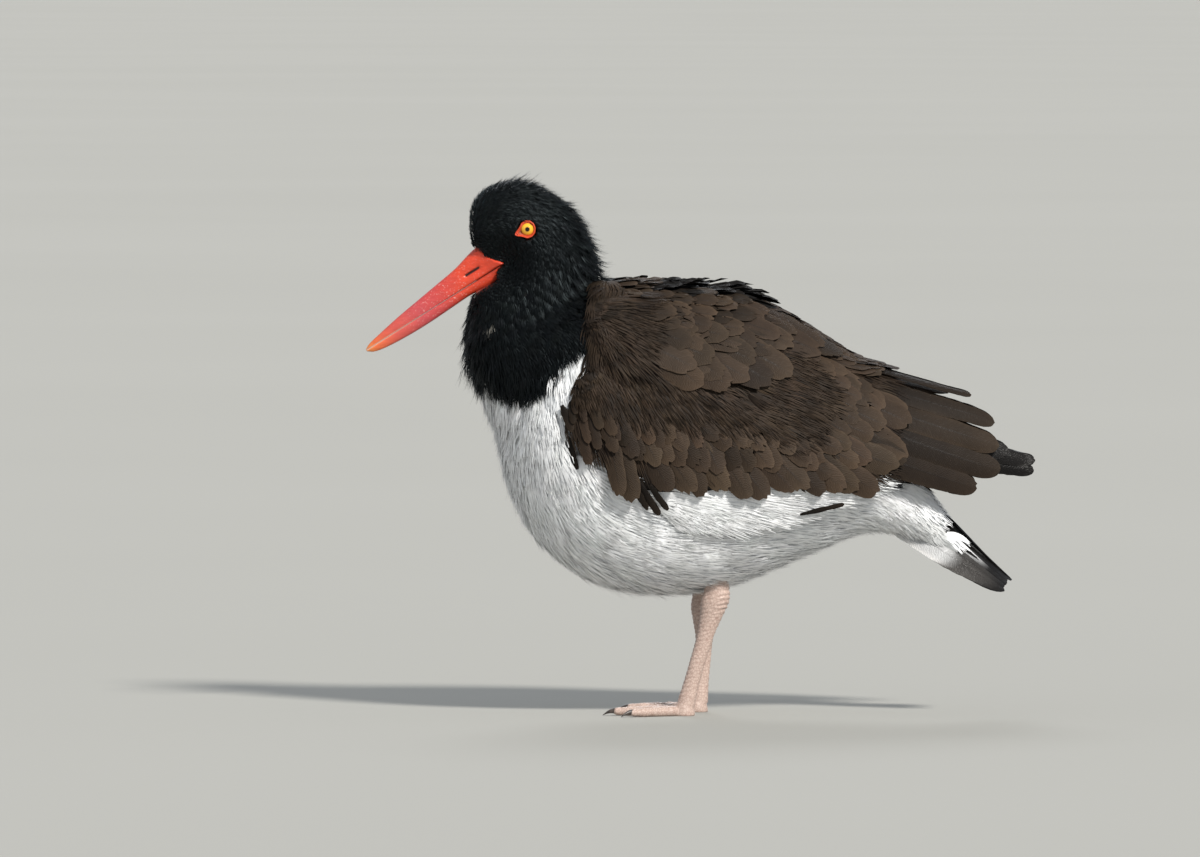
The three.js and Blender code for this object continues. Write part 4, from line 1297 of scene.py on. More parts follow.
def rim_line(rim, pitch):
    """Places a pitch apart along a rim table of x, z and angle."""
    away = np.concatenate([[0], np.cumsum(np.hypot(*np.diff(rim[:, :2], axis=0).T))])
    table = np.column_stack([away, rim])
    at = np.arange(0.5 * pitch, away[-1], pitch)
    return read_table(table, at)


def shingle_rows(rim, rows, sign, rng, surface=ROOF):
    """Rows of feathers laid upstream of a rim, each row given as its tips' distance from the rim, length, half
    width, pitch and lift. A root is found by walking back from the rim against the feathers' way.

    Returns roots p and q, headings, lengths, half widths and lifts.
    """
    found = []
    for k, (distance, length, half, pitch, lift) in enumerate(rows):
        line = rim_line(rim, pitch)
        line[:, :2] += rng.normal(0, 0.12 * pitch, (len(line), 2))
        shift = (0.5 if k % 2 else 0.0) * pitch
        x, z, angle = line.T
        x = x + shift * 0.5 * np.cos(np.radians(angle + 90))
        turn = sign * roof_turn(x, z)
        n = len(x)
        size = length * rng.uniform(0.92, 1.08, n)
        back = distance * rng.uniform(0.94, 1.06, n) + size
        upstream = side_heading(angle, back=True)
        p, q, kept = x, turn, size
        for share in (0.35, 0.5, 0.7, 1.0):
            reach = back - size * (1 - share)
            _, ends = lay_shafts(surface, x, turn, reach, upstream, np.linspace(0, 1, 7))
            root = surface.point(*ends)
            inside = (root[:, 0] > wing_front(root[:, 2])) | (share < 0.4)
            p, q = np.where(inside, ends[0], p), np.where(inside, ends[1], q)
            kept = np.where(inside, size * share, kept)
        found.append(np.column_stack([p, q, angle + rng.normal(0, 5.0, n), kept,
                                      half * rng.uniform(0.9, 1.1, n) * (0.5 + 0.5 * kept / size),
                                      np.full(n, lift)]))
    return np.concatenate(found)


def wing_shafts(found, stops):
    """Shafts over the wing of found feathers, those that would reach past its front edge left out."""
    p, q, angle, length = found.T[:4]
    shafts, _ = lay_shafts(ROOF, p, q, length, side_heading(angle), stops)
    ends = shafts[0][:, [0, -1]]
    front = np.where(ends[..., 2] > 121, wing_front(ends[..., 2]), -99)
    kept = (ends[..., 0] > front - 2).all(1)
    return tuple(part[kept] for part in shafts), found[kept]


def lay_wing_feathers(plumage, found, base, sign, colour, rng, rows, fray, ruffle):
    """Firm feathers over the wing, with ragged ends."""
    stops = vane_stops(rows)
    shafts, found = wing_shafts(found, stops)
    p, q, _, length, half, lift = found.T
    n = len(p)
    rear = ease(-60, -14, shafts[0][:, -1, 0])
    low = base + 3.0 * ease(-40, -62, p)
    roll = -sign * 0.07 + rng.normal(0, 0.04, n)
    tips = low + lift + np.abs(rng.normal(0, ruffle, n))
    tint = jittered(colour, rng, n, 0.28) * (0.75 + 0.25 * rear)[:, None]
    add_vanes(plumage, shafts, stops, length, half * (0.5 + 0.5 * rear), 17, low - 1.9, tips, roll,
              tint[:, None, None], roof_places(p, q), rng, fray=fray)


def lay_wing_tufts(plumage, found, base, colour, rng, ruffle, barbs=11):
    """Soft brown feathers over the wing: fans of barbs that part at their ends."""
    stops = np.linspace(0, 1, 6)
    shafts, found = wing_shafts(found, stops)
    p, q, _, length, half, lift = found.T
    n = len(p)
    low = base + 3.0 * ease(-40, -62, p)
    rise = low + lift + np.abs(rng.normal(0, ruffle, n))
    tint = jittered(colour, rng, n, 0.4)
    add_tufts(plumage, shafts, stops, half, barbs, np.full(n, 1.5), 2.2 - low, rise, tint, roof_places(p, q),
              rng, fluff=0.15, shade=0.6, tones=0.12, twists=0.12, dome=0.45)


def below(found, height):
    """Those of the found feathers whose root lies below a height."""
    return found[roof_point(found[:, 0], found[:, 1])[:, 2] < height]


def build_coverts(side):
    """Wing coverts: soft small ones above, rows of long firm ones along the lower edge."""
    sign = SIDES[side]
    brown = np.array(settings()[0].brown)
    rng = side_rng(31, side)
    soft, firm = Plumage(), Plumage()
    fill_wing(soft, sign, brown * 0.8, rng)
    rows = [(39 + 5 * k, 20, 5.0, 4.8, 0.3) for k in range(8)]
    lay_wing_tufts(soft, below(shingle_rows(COVERT_RIM, rows, sign, rng), 214), 0.0, brown * 0.95, rng, 0.5)
    rows = [(0, 46, 8.4, 9.5, 0.0), (19, 34, 7.4, 8.5, 0.3), (32, 27, 6.2, 7, 0.3)]
    lay_wing_feathers(firm, below(shingle_rows(COVERT_RIM, rows, sign, rng), 214), 0.0, sign, brown * 1.05, rng,
                      rows=12, fray=0.13, ruffle=0.3)
    lay_strays(firm, sign, rng)
    declare(firm.build(f"wing_coverts_{side}_feathers", brown_material()), "brown_plumage")
    declare(soft.build(f"small_coverts_{side}_feathers", soft_brown_material()), "brown_plumage")


def fill_wing(plumage, sign, colour, rng):
    """An under-layer of soft feathers over the whole wing and shoulder, that shows where rows above part."""
    p, q = scatter(ROOF, WING_SPAN, (0.1, 1.45) if sign > 0 else (-1.45, -0.1), evenly(5.4), (100, 70))
    n = len(p)
    z = roof_point(p, q)[:, 2]
    low = np.interp(p, [-60, 10, 80], [-74, -52, -24])
    high = np.interp(p, [-60, -40, 0, 50], [-95, -65, -42, -25])
    angle = low + (high - low) * ease(172, 188, z) + rng.normal(0, 6, n)
    length = np.minimum(22, (z - 124) / np.sin(np.radians(-angle)))
    found = np.column_stack([p, q, angle, length, np.full(n, 5.2), np.zeros(n)])
    lay_wing_tufts(plumage, found[length > 9], -0.9, colour, rng, 0.2, barbs=9)


def lay_strays(plumage, sign, rng):
    """Single dark feathers that hang out of line under the coverts; the last one is partly painted shade, a dark
    line on the white feathers.
    """
    root, tip = (np.array([row[k] for row in STRAYS], float) for k in (0, 1))
    away = tip - root
    turn = sign * roof_turn(root[:, 0], root[:, 1])
    length = np.hypot(*away.T)
    stops = vane_stops(12)
    heading = side_heading(np.degrees(np.arctan2(away[:, 1], away[:, 0])))
    shafts, _ = lay_shafts(SKIRT, root[:, 0], turn, length, heading, stops)
    n = len(root)
    half = np.array([row[2] for row in STRAYS])
    # Painted shade in part: the last stray, a very dark feather on the white ones, stands for a shadow line
    # there.
    tint = jittered(np.array(settings()[0].brown) * 0.4, rng, n, 0.2)
    add_vanes(plumage, shafts, stops, length, half, 7, np.full(n, -1.0), np.full(n, 0.9), np.zeros(n),
              tint[:, None, None], roof_places(root[:, 0], turn), rng, fray=0.2)


def build_scapulars(side):
    """Shoulder feathers: soft and narrow by the neck, broad and round further back, from ridge to rim."""
    sign = SIDES[side]
    brown = np.array(settings()[0].brown)
    rng = side_rng(41, side)
    rows = [
        (0, 46, 10.0, 12.5, 0.3), (13, 44, 9.6, 12.5, 0.5), (26, 40, 9, 11.5, 0.6), (38, 34, 8.2, 10, 0.7),
        (49, 28, 7.2, 9, 0.8), (59, 25, 6.6, 8, 0.8), (69, 24, 6.4, 8, 0.8), (79, 24, 6.4, 8, 0.8),
    ]
    found = shingle_rows(SCAPULAR_RIM, rows, sign, rng)
    found = found[found[:, 1] * sign > 0.16]
    front = found[:, 0] < -42 + rng.normal(0, 4, len(found))
    firm, soft = Plumage(), Plumage()
    lay_wing_feathers(firm, found[~front], 2.0, sign, brown * 0.95, rng, rows=14, fray=0.11, ruffle=0.6)
    near = shingle_rows(SCAPULAR_RIM, [(-2 + 5 * k, 24, 5.0, 4.6, 0.6) for k in range(20)], sign, rng)
    near = near[(near[:, 0] < -36) & (near[:, 1] * sign > 0.1)]
    lay_wing_tufts(soft, near, 1.6, brown * 0.85, rng, 1.3)
    declare(firm.build(f"scapulars_{side}_feathers", brown_material()), "brown_plumage", f"scapulars_{side}")
    declare(soft.build(f"shoulder_{side}_feathers", soft_brown_material()), "brown_plumage")


def build_mantle():
    """Mantle: brown feathers over the ridge, black and blown up into a crest in its middle."""
    rng = np.random.default_rng(51)
    x, turn = scatter(ROOF, (-58, 78), (-0.46, 0.46), evenly(5.6), (110, 40))
    n = len(x)
    rear = ease(8, 20, x)
    crest = ease(-40, -30, x) * (1 - rear) * ease(0.34, 0.2, np.abs(turn))
    length = (21 + 6 * crest + 11 * rear) * rng.uniform(0.85, 1.15, n)
    stops = vane_stops(12)
    sway = 0.25 * np.sign(turn) * ease(20, -30, x) + rng.normal(0, 0.1, n)
    shafts, _ = lay_shafts(ROOF, x, turn, length, side_heading(np.zeros(n), sway), stops)
    tips = 1.2 + np.abs(rng.normal(0, 1.2, n)) * (0.6 + crest) * (1 - 0.6 * rear) + 1.4 * crest
    half = (3.8 - 0.6 * crest + 3.4 * rear) * rng.uniform(0.85, 1.15, n)
    tint = jittered(settings()[0].brown, rng, n, 0.2)
    tint = np.where((crest > 0.3)[:, None], tint * np.array([0.16, 0.2, 0.27]), tint * 0.9)
    plumage = Plumage()
    add_vanes(plumage, shafts, stops, length, half, 7, np.full(n, -1.6), tips, rng.normal(0, 0.12, n),
              tint[:, None, None], roof_places(x, turn), rng, fray=0.16)
    declare(plumage.build("mantle_feathers", brown_material()), "brown_plumage")


def build_rump():
    """Lower back between the closed wings: brown feathers, then white tufts over the root of the tail."""
    rng = np.random.default_rng(55)
    t, turn = scatter(BODY, (0.7, 0.95), (-0.62, 0.62), lambda point: (point[..., 0] < 113) / 5.2**2)
    n = len(t)
    length = rng.uniform(19, 25, n)
    stops = vane_stops(11)
    sway = rng.normal(0, 0.1, (n, 3))
    shafts, _ = lay_shafts(BODY, t, turn, length, lambda at, flow: flow + sway, stops)
    tint = jittered(np.array(settings()[0].brown) * 1.1, rng, n, 0.2)
    plumage = Plumage()
    half, tips, roll = rng.uniform(4.8, 6.2, n), rng.uniform(0.6, 1.6, n), rng.normal(0, 0.06, n)
    add_vanes(plumage, shafts, stops, length, half, 7, np.full(n, -2.0), tips, roll, tint[:, None, None],
              body_places(t, turn), rng, fray=0.12)
    declare(plumage.build("rump_feathers", brown_material()), "brown_plumage")

    def region(p):
        return (p[..., 0] > 111) * (p[..., 0] < 128) * (p[..., 2] > 101)

    grow_white("tail_covert_feathers", region, 57, (0.7, 1.0))


def build_wing_shell(side):
    """The folded wing under its feathers: a closed slab between two depths under the roof."""
    sign = SIDES[side]
    s = np.linspace(0, 1, 60)[:, None]
    w = np.linspace(0, 1, 22)
    start = wing_front(222 - 70 * w) + 6
    p = start + (102 - start) * s
    high = 0.3
    low = roof_turn(p, read_table(ROOF_STATIONS, p)[..., 1] + 3 + 22 * ease(-40, -66, p))
    turn = sign * (high + (low - high) * w)
    point, _, _, normal = ROOF.frame(p, turn)
    outer, inner = point - normal * 3.2, point - normal * 6.2
    rings = np.concatenate([outer, inner[:, ::-1]], axis=1)
    if sign > 0:
        rings = rings[:, ::-1]
    mesh = tube_mesh(f"wing_shell_{side}", rings)
    add_tint(mesh, np.tile(np.array(settings()[0].brown) * 0.5, (len(mesh.vertices), 1)))
    shell = place(mesh, soft_material("Wing lining", 0.8))
    declare(shell, "brown_plumage", f"wing_coverts_{side}")


def build_flight(side):
    """Tertials and primaries: long feathers in layers behind the coverts, with an upper and an under face."""
    colours = settings()[0]
    rng = side_rng(61, side)
    tertials = lay_flight(TERTIALS, side, np.array(colours.brown) * 0.62, long_outline, rng)
    nodes = [f"tertial_{k}_{side}" for k in range(1, 6)]
    declare(tertials.build(f"tertials_{side}", brown_material(), bake=False), "brown_plumage", *nodes)
    primaries = lay_flight(PRIMARIES, side, colours.dark, pointed_outline, rng)
    nodes = [f"primary_{k}_{side}" for k in (1, 2)]
    declare(primaries.build(f"primaries_{side}", dark_material(), bake=False), "dark_flight_feathers", *nodes)


def lay_flight(rows, side, colour, outline, rng):
    """Long feathers from their roots to their tips in the side view, each in its layer.

    A shaft bends over the roof, so its angle and length are corrected until its end meets the tip.
    """
    sign = SIDES[side]
    root, tip, half, layer = (np.array(column, float) for column in zip(*rows))
    n = len(rows)
    turn = sign * roof_turn(root[:, 0], root[:, 1])
    away = tip - root
    bearing = np.arctan2(away[:, 1], away[:, 0])
    angle, length = np.degrees(bearing), np.hypot(*away.T)
    stops = vane_stops(30)
    for _ in range(4):
        shafts, _ = lay_shafts(ROOF, root[:, 0], turn, length, side_heading(angle), stops)
        reached = shafts[0][:, -1, ::2] - root
        angle = angle + np.degrees(bearing - np.arctan2(reached[:, 1], reached[:, 0]))
        length = length * np.hypot(*away.T) / np.hypot(*reached.T)
    depth = layer * LAYER_PITCH
    tint = jittered(colour, rng, n, 0.18)
    plumage = Plumage()
    add_vanes(plumage, shafts, stops, length, half, 17, -1.5 - depth, -0.2 - depth, np.full(n, -sign * 0.05),
              tint[:, None, None], roof_places(root[:, 0], turn), rng, outline=outline, fray=0.05, camber=0.1,
              thick=0.35, under=(1.9, 1.9, 1.95))
    return plumage


def build_secondaries(side):
    """White tips under the coverts: soft broad fans that hang back over the flank."""
    rng = side_rng(71, side)
    rows = [(6.5 * k, 44 - 2 * k, 7.0, 4.6, 0.2 * k) for k in range(6)]
    found = shingle_rows(SECONDARY_RIM, rows, SIDES[side], rng, SKIRT)
    p, q, angle, length, half, lift = found[found[:, 0] > -30].T
    n = len(p)
    stops = np.linspace(0, 1, 9)
    shafts, _ = lay_shafts(SKIRT, p, q, length, side_heading(angle), stops)
    plumage = Plumage()
    tint = jittered(settings()[0].white, rng, n, 0.02, 0.004)
    add_tufts(plumage, shafts, stops, half, 15, np.full(n, 2.2), np.full(n, 4.5), lift - 2.0, tint,
              roof_places(p, q), rng, fluff=0.1, shade=0.0, tones=0.012, twists=0.05, dome=0.22)
    declare(plumage.build(f"secondaries_{side}_feathers", white_material()), "white_plumage",
            f"secondaries_{side}")


def build_tail():
    """Tail: twelve long feathers in an arch, dark, the outer ones with white roots and a white streak, their
    white dimmed outwards as painted shade.
    """
    colours = settings()[0]
    rng = np.random.default_rng(81)
    n = 12
    a = np.linspace(-0.93, 0.93, n)
    order = np.abs(a)
    length = 70 * (1.25 - 0.06 * order) * rng.uniform(0.985, 1.0, n)
    length = length * (1 + 0.035 * np.exp(-((order / 0.2) ** 2)))
    stops = vane_stops(26)
    shafts, _ = lay_shafts(TAIL, np.full(n, -0.25), a, length, lambda at, flow: flow, stops)
    tip = -0.2 - 1.0 * order
    u, v = stops[None, :, None], vane_columns(9)[None, None]
    out = order[:, None, None]
    upper = -np.sign(a)[:, None, None] * v
    streak = np.exp(-(((out - 0.58) / 0.1) ** 2)) * ease(0.86, 0.66, u) * ease(-0.4, 0.3, upper)
    far = 0.22 * ease(0.5, 0.8, out)
    pale = np.maximum(ease(0.45, 0.3, u - far) * ease(0.45, 0.58, out), streak)[..., None]
    bleached = (ease(0.55, 0.75, out) * ease(1, 0.8, u))[..., None]
    grey = np.array(colours.dark) + np.array([0.034, 0.032, 0.03]) * bleached
    # Painted shade: the white of the outer feathers is dimmed to about 0.55 by far, so that it matches the shaded
    # tufts beside it.
    tint = grey * (1 - pale) + np.array(colours.white) * (0.9 - 1.6 * far[..., None]) * pale
    tint = tint * rng.normal(1, 0.06, (n, 1, 1, 1))
    half = 7.2 - 1.8 * np.exp(-((order / 0.25) ** 2))
    plumage = Plumage()
    places = np.stack([0.1 + 0.8 * (a + 1) / 2, np.full(n, 0.5)], -1)
    add_vanes(plumage, shafts, stops, length, half, 9, tip - 1.0, tip, np.sign(a) * -0.1, tint, places, rng,
              outline=long_outline, fray=0.04, camber=0.1, thick=0.4, under=(2.6, 2.7, 2.8), dark_root_and_shade=0.0)
    declare(plumage.build("tail_feathers", dark_material(), bake=False), "dark_flight_feathers", "tail")


def bill_rings(profile, up):
    """Rings of one bill half: a half oval over the mouth line, its flat side on the line.

    At distance s the height is profile(s), the half width is the width table's, and a point at angle a lies
    at width * cos^0.75(a) and height * sin^0.85(a). The nostril is a slot in a shallow groove.
    """
    s = BILL_LENGTH * np.linspace(0.0, 1, 220) ** 0.95
    angle = np.linspace(0, np.pi, 56)
    height = read_table(profile, s)[:, 0]
    half = read_table(BILL_HALF_WIDTH, s)[:, 0]
    lift = 0.12 + (height[:, None] - 0.12) * signed_power(np.sin(angle), 0.85)
    wide = half[:, None] * signed_power(np.cos(angle), 0.75)
    if up > 0:
        along = np.clip(s[:, None], NOSTRIL["start"], NOSTRIL["end"])
        away = np.hypot((s[:, None] - along) * 0.6, lift - NOSTRIL["up"])
        groove = 0.55 * np.exp(-((away / 2.1) ** 2)) + 1.5 * np.exp(-((away / 0.5) ** 2))
        ridge = 0.35 * np.exp(-(((lift - 2.2 + 0.02 * s[:, None]) / 0.9) ** 2)) * ease(46, 20, s)[:, None]
        wide = wide - np.sign(wide) * np.minimum(groove, np.abs(wide) * 0.6) + np.sign(wide) * ridge
    else:
        fold = 0.45 * np.exp(-(((lift - 2.4) / 1.3) ** 2)) * ease(30, 6, s)[:, None]
        wide = wide - np.sign(wide) * fold * 0.8
    tuck = 0.35 * ease(3, 0, lift / np.maximum(height[:, None], 0.4) * 8)
    wide = wide - np.sign(wide) * np.minimum(tuck, np.abs(wide) * 0.3)
    edge = np.interp(up * lift, *FEATHER_EDGE.T)
    wide = wide * (1 - 0.45 * ease(0.3, -1.4, s[:, None] - edge))
    outer = np.stack([s[:, None] + 0 * lift, wide, up * lift], -1)
    inner_wide = wide[:, -1:] + (wide[:, :1] - wide[:, -1:]) * np.linspace(0, 1, 8)[1:-1]
    inner = np.stack([s[:, None] + 0 * inner_wide, inner_wide, up * 0.12 + 0 * inner_wide], -1)
    local = np.concatenate([outer, inner], axis=1)
    return local if up > 0 else local[:, ::-1]


def build_bill():
    """Both halves of the bill, with their own map of distance along and height for the colours."""
    material = bill_material()
    sideways = np.array([0.0, 1, 0])
    for name, profile, up in (("bill_upper", CULMEN, 1), ("bill_lower", UNDER_BILL, -1)):
        along, wide, high = np.split(bill_rings(profile, up), 3, axis=-1)
        rings = GAPE + along * BILL_FORWARD + high * BILL_RISE + wide * sideways
        mesh = tube_mesh(f"{name}_horn", rings[:, ::-1])
        away, rise = bill_places(vertices_of(mesh))
        add_map(mesh, "Bill", np.stack([away / BILL_LENGTH, 0.5 + rise / 40], -1))
        declare(place(mesh, material), "bill", name)


def bill_material():
    """Horn: orange-red root, pinkish middle, orange tip, fine streaks and pale scuffs, nostril slot and mouth
    line near the root darkened as painted shade.
    """
    red, green, blue = settings()[0].horn
    material, tree, shader = new_material("Bill horn", 0.36, Specular_IOR_Level=0.5)
    along, high = map_parts(tree, "Bill")
    coords = own_place(tree)
    ground = ramp(tree, maths(tree, "ADD", along, varied(tree, coords, 60, 3.0, 0.16, -0.08)), [
        (0.0, (red, green, blue)),
        (0.26, (red * 1.02, green * 1.1, blue * 1.15)),
        (0.4, (red * 0.86, green * 1.05, blue * 2.2)),
        (0.58, (red * 0.78, green * 1.2, blue * 3.6)),
        (0.78, (red * 0.9, green * 1.6, blue * 3.2)),
        (0.93, (0.66, 0.13, 0.04)),
        (1.0, (0.68, 0.22, 0.06)),
    ])
    mapping = tree.nodes.new("ShaderNodeMapping")
    mapping.inputs["Rotation"].default_value = (0, BILL_PITCH, 0)
    mapping.inputs["Scale"].default_value = (120, 900, 900)
    link(tree, coords, mapping.inputs["Vector"])
    streak = noise(tree, mapping.outputs["Vector"], 1.0, 3.0)
    streaked = mixed(tree, 1.0, ground, maths(tree, "MULTIPLY_ADD", streak, 0.5, 0.75), "MULTIPLY")
    flecks = noise(tree, coords, 1100, 2.0)
    fleck = maths(tree, "MULTIPLY", maths(tree, "SUBTRACT", flecks, 0.6, clamp=True), 7.0, clamp=True)
    from_middle = distance_from(tree, along, 0.4)
    middle = maths(tree, "SUBTRACT", 1.0, maths(tree, "MULTIPLY", from_middle, 2.4), clamp=True)
    scuff = maths(tree, "MULTIPLY", fleck, maths(tree, "MULTIPLY", middle, 0.6))
    scuffed = mixed(tree, scuff, streaked, (0.85, 0.55, 0.5))
    # Painted shade: the nostril slot is painted near black.
    start, end = NOSTRIL["start"] / BILL_LENGTH, NOSTRIL["end"] / BILL_LENGTH
    reach = maths(tree, "SUBTRACT", distance_from(tree, along, (start + end) / 2), (end - start) / 2)
    reach = maths(tree, "MULTIPLY", maths(tree, "MAXIMUM", reach, 0.0), BILL_LENGTH / 0.6)
    lift = maths(tree, "MULTIPLY", distance_from(tree, high, 0.5 + NOSTRIL["up"] / 40), 40 / 0.62)
    slot = maths(tree, "SUBTRACT", 1.6, maths(tree, "ADD", reach, lift), clamp=True)
    dark = mixed(tree, slot, scuffed, (0.02, 0.004, 0.003))
    # Painted shade: the mouth line is darkened near the root, where the two halves meet; further out it turns
    # paler.
    mouth = maths(tree, "MULTIPLY", distance_from(tree, high, 0.5), 40 / 0.75)
    mouth = maths(tree, "SUBTRACT", 1.15, mouth, clamp=True)
    inner = maths(tree, "MULTIPLY", mouth, maths(tree, "MULTIPLY_ADD", along, -2.2, 1.0, clamp=True))
    outer = maths(tree, "MULTIPLY", mouth, maths(tree, "MULTIPLY_ADD", along, 2.2, -1.1, clamp=True))
    creased = mixed(tree, maths(tree, "MULTIPLY", inner, 0.9), dark, (0.09, 0.008, 0.004))
    creased = mixed(tree, maths(tree, "MULTIPLY", outer, 0.5), creased, (0.85, 0.5, 0.32))
    link(tree, creased, shader.inputs["Base Color"])
    link(tree, varied(tree, coords, 500, 3.0, 0.3, 0.24), shader.inputs["Roughness"])
    bumped(tree, shader, maths(tree, "ADD", streak, maths(tree, "MULTIPLY", flecks, 0.5)), 0.4, 0.0003)
    return material


def distance_from(tree, value, middle):
    return maths(tree, "ABSOLUTE", maths(tree, "SUBTRACT", value, middle))


def build_eyes():
    for side, sign in SIDES.items():
        eyeball(side, sign)
        eyelid(side, sign)


def eyeball(side, sign):
    """A ball with a low dome over the iris: radius - 0.1 + 0.3 exp(-(a / 0.6)^2), a from the outward axis."""
    middle = np.array([EYE["x"], sign * EYE["y"], EYE["z"]])
    angle = np.linspace(0, np.pi, 49)[1:-1]
    around = np.linspace(0, 2 * np.pi, 65)[:-1]
    radius = EYE["radius"] + 0.3 * np.exp(-((angle / 0.6) ** 2)) - 0.1
    ring = np.stack([
        (radius * np.sin(angle))[:, None] * np.cos(around),
        sign * (radius * np.cos(angle))[:, None] + 0 * around,
        (radius * np.sin(angle))[:, None] * np.sin(around),
    ], -1) + middle
    mesh = tube_mesh(f"eyeball_{side}", ring if sign < 0 else ring[:, ::-1])
    points = vertices_of(mesh) - middle
    away = np.arctan2(np.hypot(points[:, 0], points[:, 2]), sign * points[:, 1]) / np.pi
    turn = np.arctan2(points[:, 2], points[:, 0]) / (2 * np.pi) + 0.5
    add_map(mesh, "Eye", np.stack([away, turn], -1))
    declare(place(mesh, eye_material()), "eye", f"eye_{side}")


def eye_material():
    """Golden iris with fine rays and a darker rim round a black pupil, under a clear wet coat."""
    if "Eye" in bpy.data.materials:
        return bpy.data.materials["Eye"]
    red, green, blue = settings()[0].iris
    material, tree, shader = new_material(
        "Eye", 0.4, Specular_IOR_Level=0.0, Coat_Weight=1.0, Coat_Roughness=0.03, Coat_IOR=1.45)
    away, turn = map_parts(tree, "Eye")
    wander = varied(tree, own_place(tree), 700, 2.0, 0.02, -0.01)
    rings = ramp(tree, maths(tree, "ADD", away, wander), [
        (0.0, (0.002, 0.002, 0.002)),
        (0.077, (0.003, 0.002, 0.002)),
        (0.088, (red * 0.6, green * 0.5, blue)),
        (0.13, (red, green * 1.1, blue * 1.3)),
        (0.24, (red, green, blue)),
        (0.3, (red * 0.75, green * 0.55, blue)),
        (0.34, (0.25, 0.07, 0.01)),
    ])
    squeeze = tree.nodes.new("ShaderNodeCombineXYZ")
    link(tree, maths(tree, "MULTIPLY", away, 0.25), squeeze.inputs[0])
    link(tree, turn, squeeze.inputs[1])
    rays = noise(tree, squeeze.outputs[0], 60, 2.0, 0.5)
    rayed = mixed(tree, 1.0, rings, maths(tree, "MULTIPLY_ADD", rays, 0.7, 0.65), "MULTIPLY")
    link(tree, rayed, shader.inputs["Base Color"])
    return material


def eyelid(side, sign):
    """The bare ring round the eye: an annulus from the ball to a raised rim, drawn out to a point in front.

    At turn f its rim is at outer + corner exp(-(|f - f0| / 0.34)^1.7), and w runs from ball to buried edge.
    """
    turn = np.linspace(0, 2 * np.pi, 145)[:-1]
    w = np.linspace(0, 1, 22)
    away = np.abs((turn - EYELID["corner_turn"] + np.pi) % (2 * np.pi) - np.pi)
    corner = np.exp(-((away / 0.34) ** 1.7))
    rim = EYELID["outer"] + EYELID["corner"] * corner
    rim = rim * (1 - 0.05 * np.cos(2 * turn)) + 0.06 * np.sin(turn * 11) * (1 - corner)
    inner = EYELID["inner"] - 0.25
    radius = inner + (rim - inner)[:, None] * w
    tube = np.exp(-(((radius - (rim[:, None] - 0.55)) / 0.5) ** 2))
    ball = EYE["y"] + np.sqrt(np.maximum(EYE["radius"] ** 2 - np.minimum(radius, 4.2) ** 2, 0.3))
    plane = EYELID["y"] + 0.1
    flat = ball * ease(0.35, 0.0, w) + (plane - 0.5) * (1 - ease(0.35, 0.0, w))
    out = flat + 0.85 * tube - 2.4 * ease(0.86, 1.0, w)
    _, _, _, normal = BODY.frame(*eye_place(sign))
    x, z = radius * np.cos(turn)[:, None], radius * np.sin(turn)[:, None]
    tilt = -(normal[0] * x + normal[2] * z) / (sign * normal[1]) * ease(0.1, 0.6, w)
    rings = np.stack([EYE["x"] + x, sign * (out + 0.8 * tilt), EYE["z"] + z], -1)
    n, k = rings.shape[:2]
    index = np.arange(n * k).reshape(n, k)
    nxt = np.roll(index, -1, axis=0)
    quads = np.stack([index[:, :-1], index[:, 1:], nxt[:, 1:], nxt[:, :-1]], -1).reshape(-1, 4)
    if sign < 0:
        quads = quads[:, ::-1]
    mesh = mesh_of(f"eyelid_{side}", rings.reshape(-1, 3), quads)
    horn = np.array(settings()[0].horn)
    inside = (ease(0.62, 0.3, w)[None] * (0.35 + 0.65 * corner[:, None]))[..., None]
    shade = horn * np.array([1.05, 1.3, 1.2]) * (1 - inside) + np.array([0.22, 0.05, 0.012]) * inside
    add_tint(mesh, shade.reshape(-1, 3))
    declare(place(mesh, lid_material()), "eye_ring", f"eye_ring_{side}")


def eye_place(sign):
    """Nearest t and turn of the body form to the eye's middle."""
    t, turn = np.meshgrid(np.linspace(0.1, 0.4, 120), np.linspace(0.3, 2.4, 160), indexing="ij")
    point = body_point(t, turn)
    best = np.unravel_index(eye_distance(point).argmin(), t.shape)
    return np.array(t[best]), np.array(sign * turn[best])


def lid_material():
    if "Eyelid" in bpy.data.materials:
        return bpy.data.materials["Eyelid"]
    material, tree, shader = new_material("Eyelid", 0.42, Specular_IOR_Level=0.5)
    beads = noise(tree, own_place(tree), 1500, 2.0)
    tone = maths(tree, "MULTIPLY_ADD", beads, 0.6, 0.7)
    link(tree, mixed(tree, 1.0, attribute(tree, "Tint"), tone, "MULTIPLY"), shader.inputs["Base Color"])
    link(tree, maths(tree, "MULTIPLY_ADD", beads, 0.3, 0.25), shader.inputs["Roughness"])
    bumped(tree, shader, beads, 0.4, 0.0002)
    return material


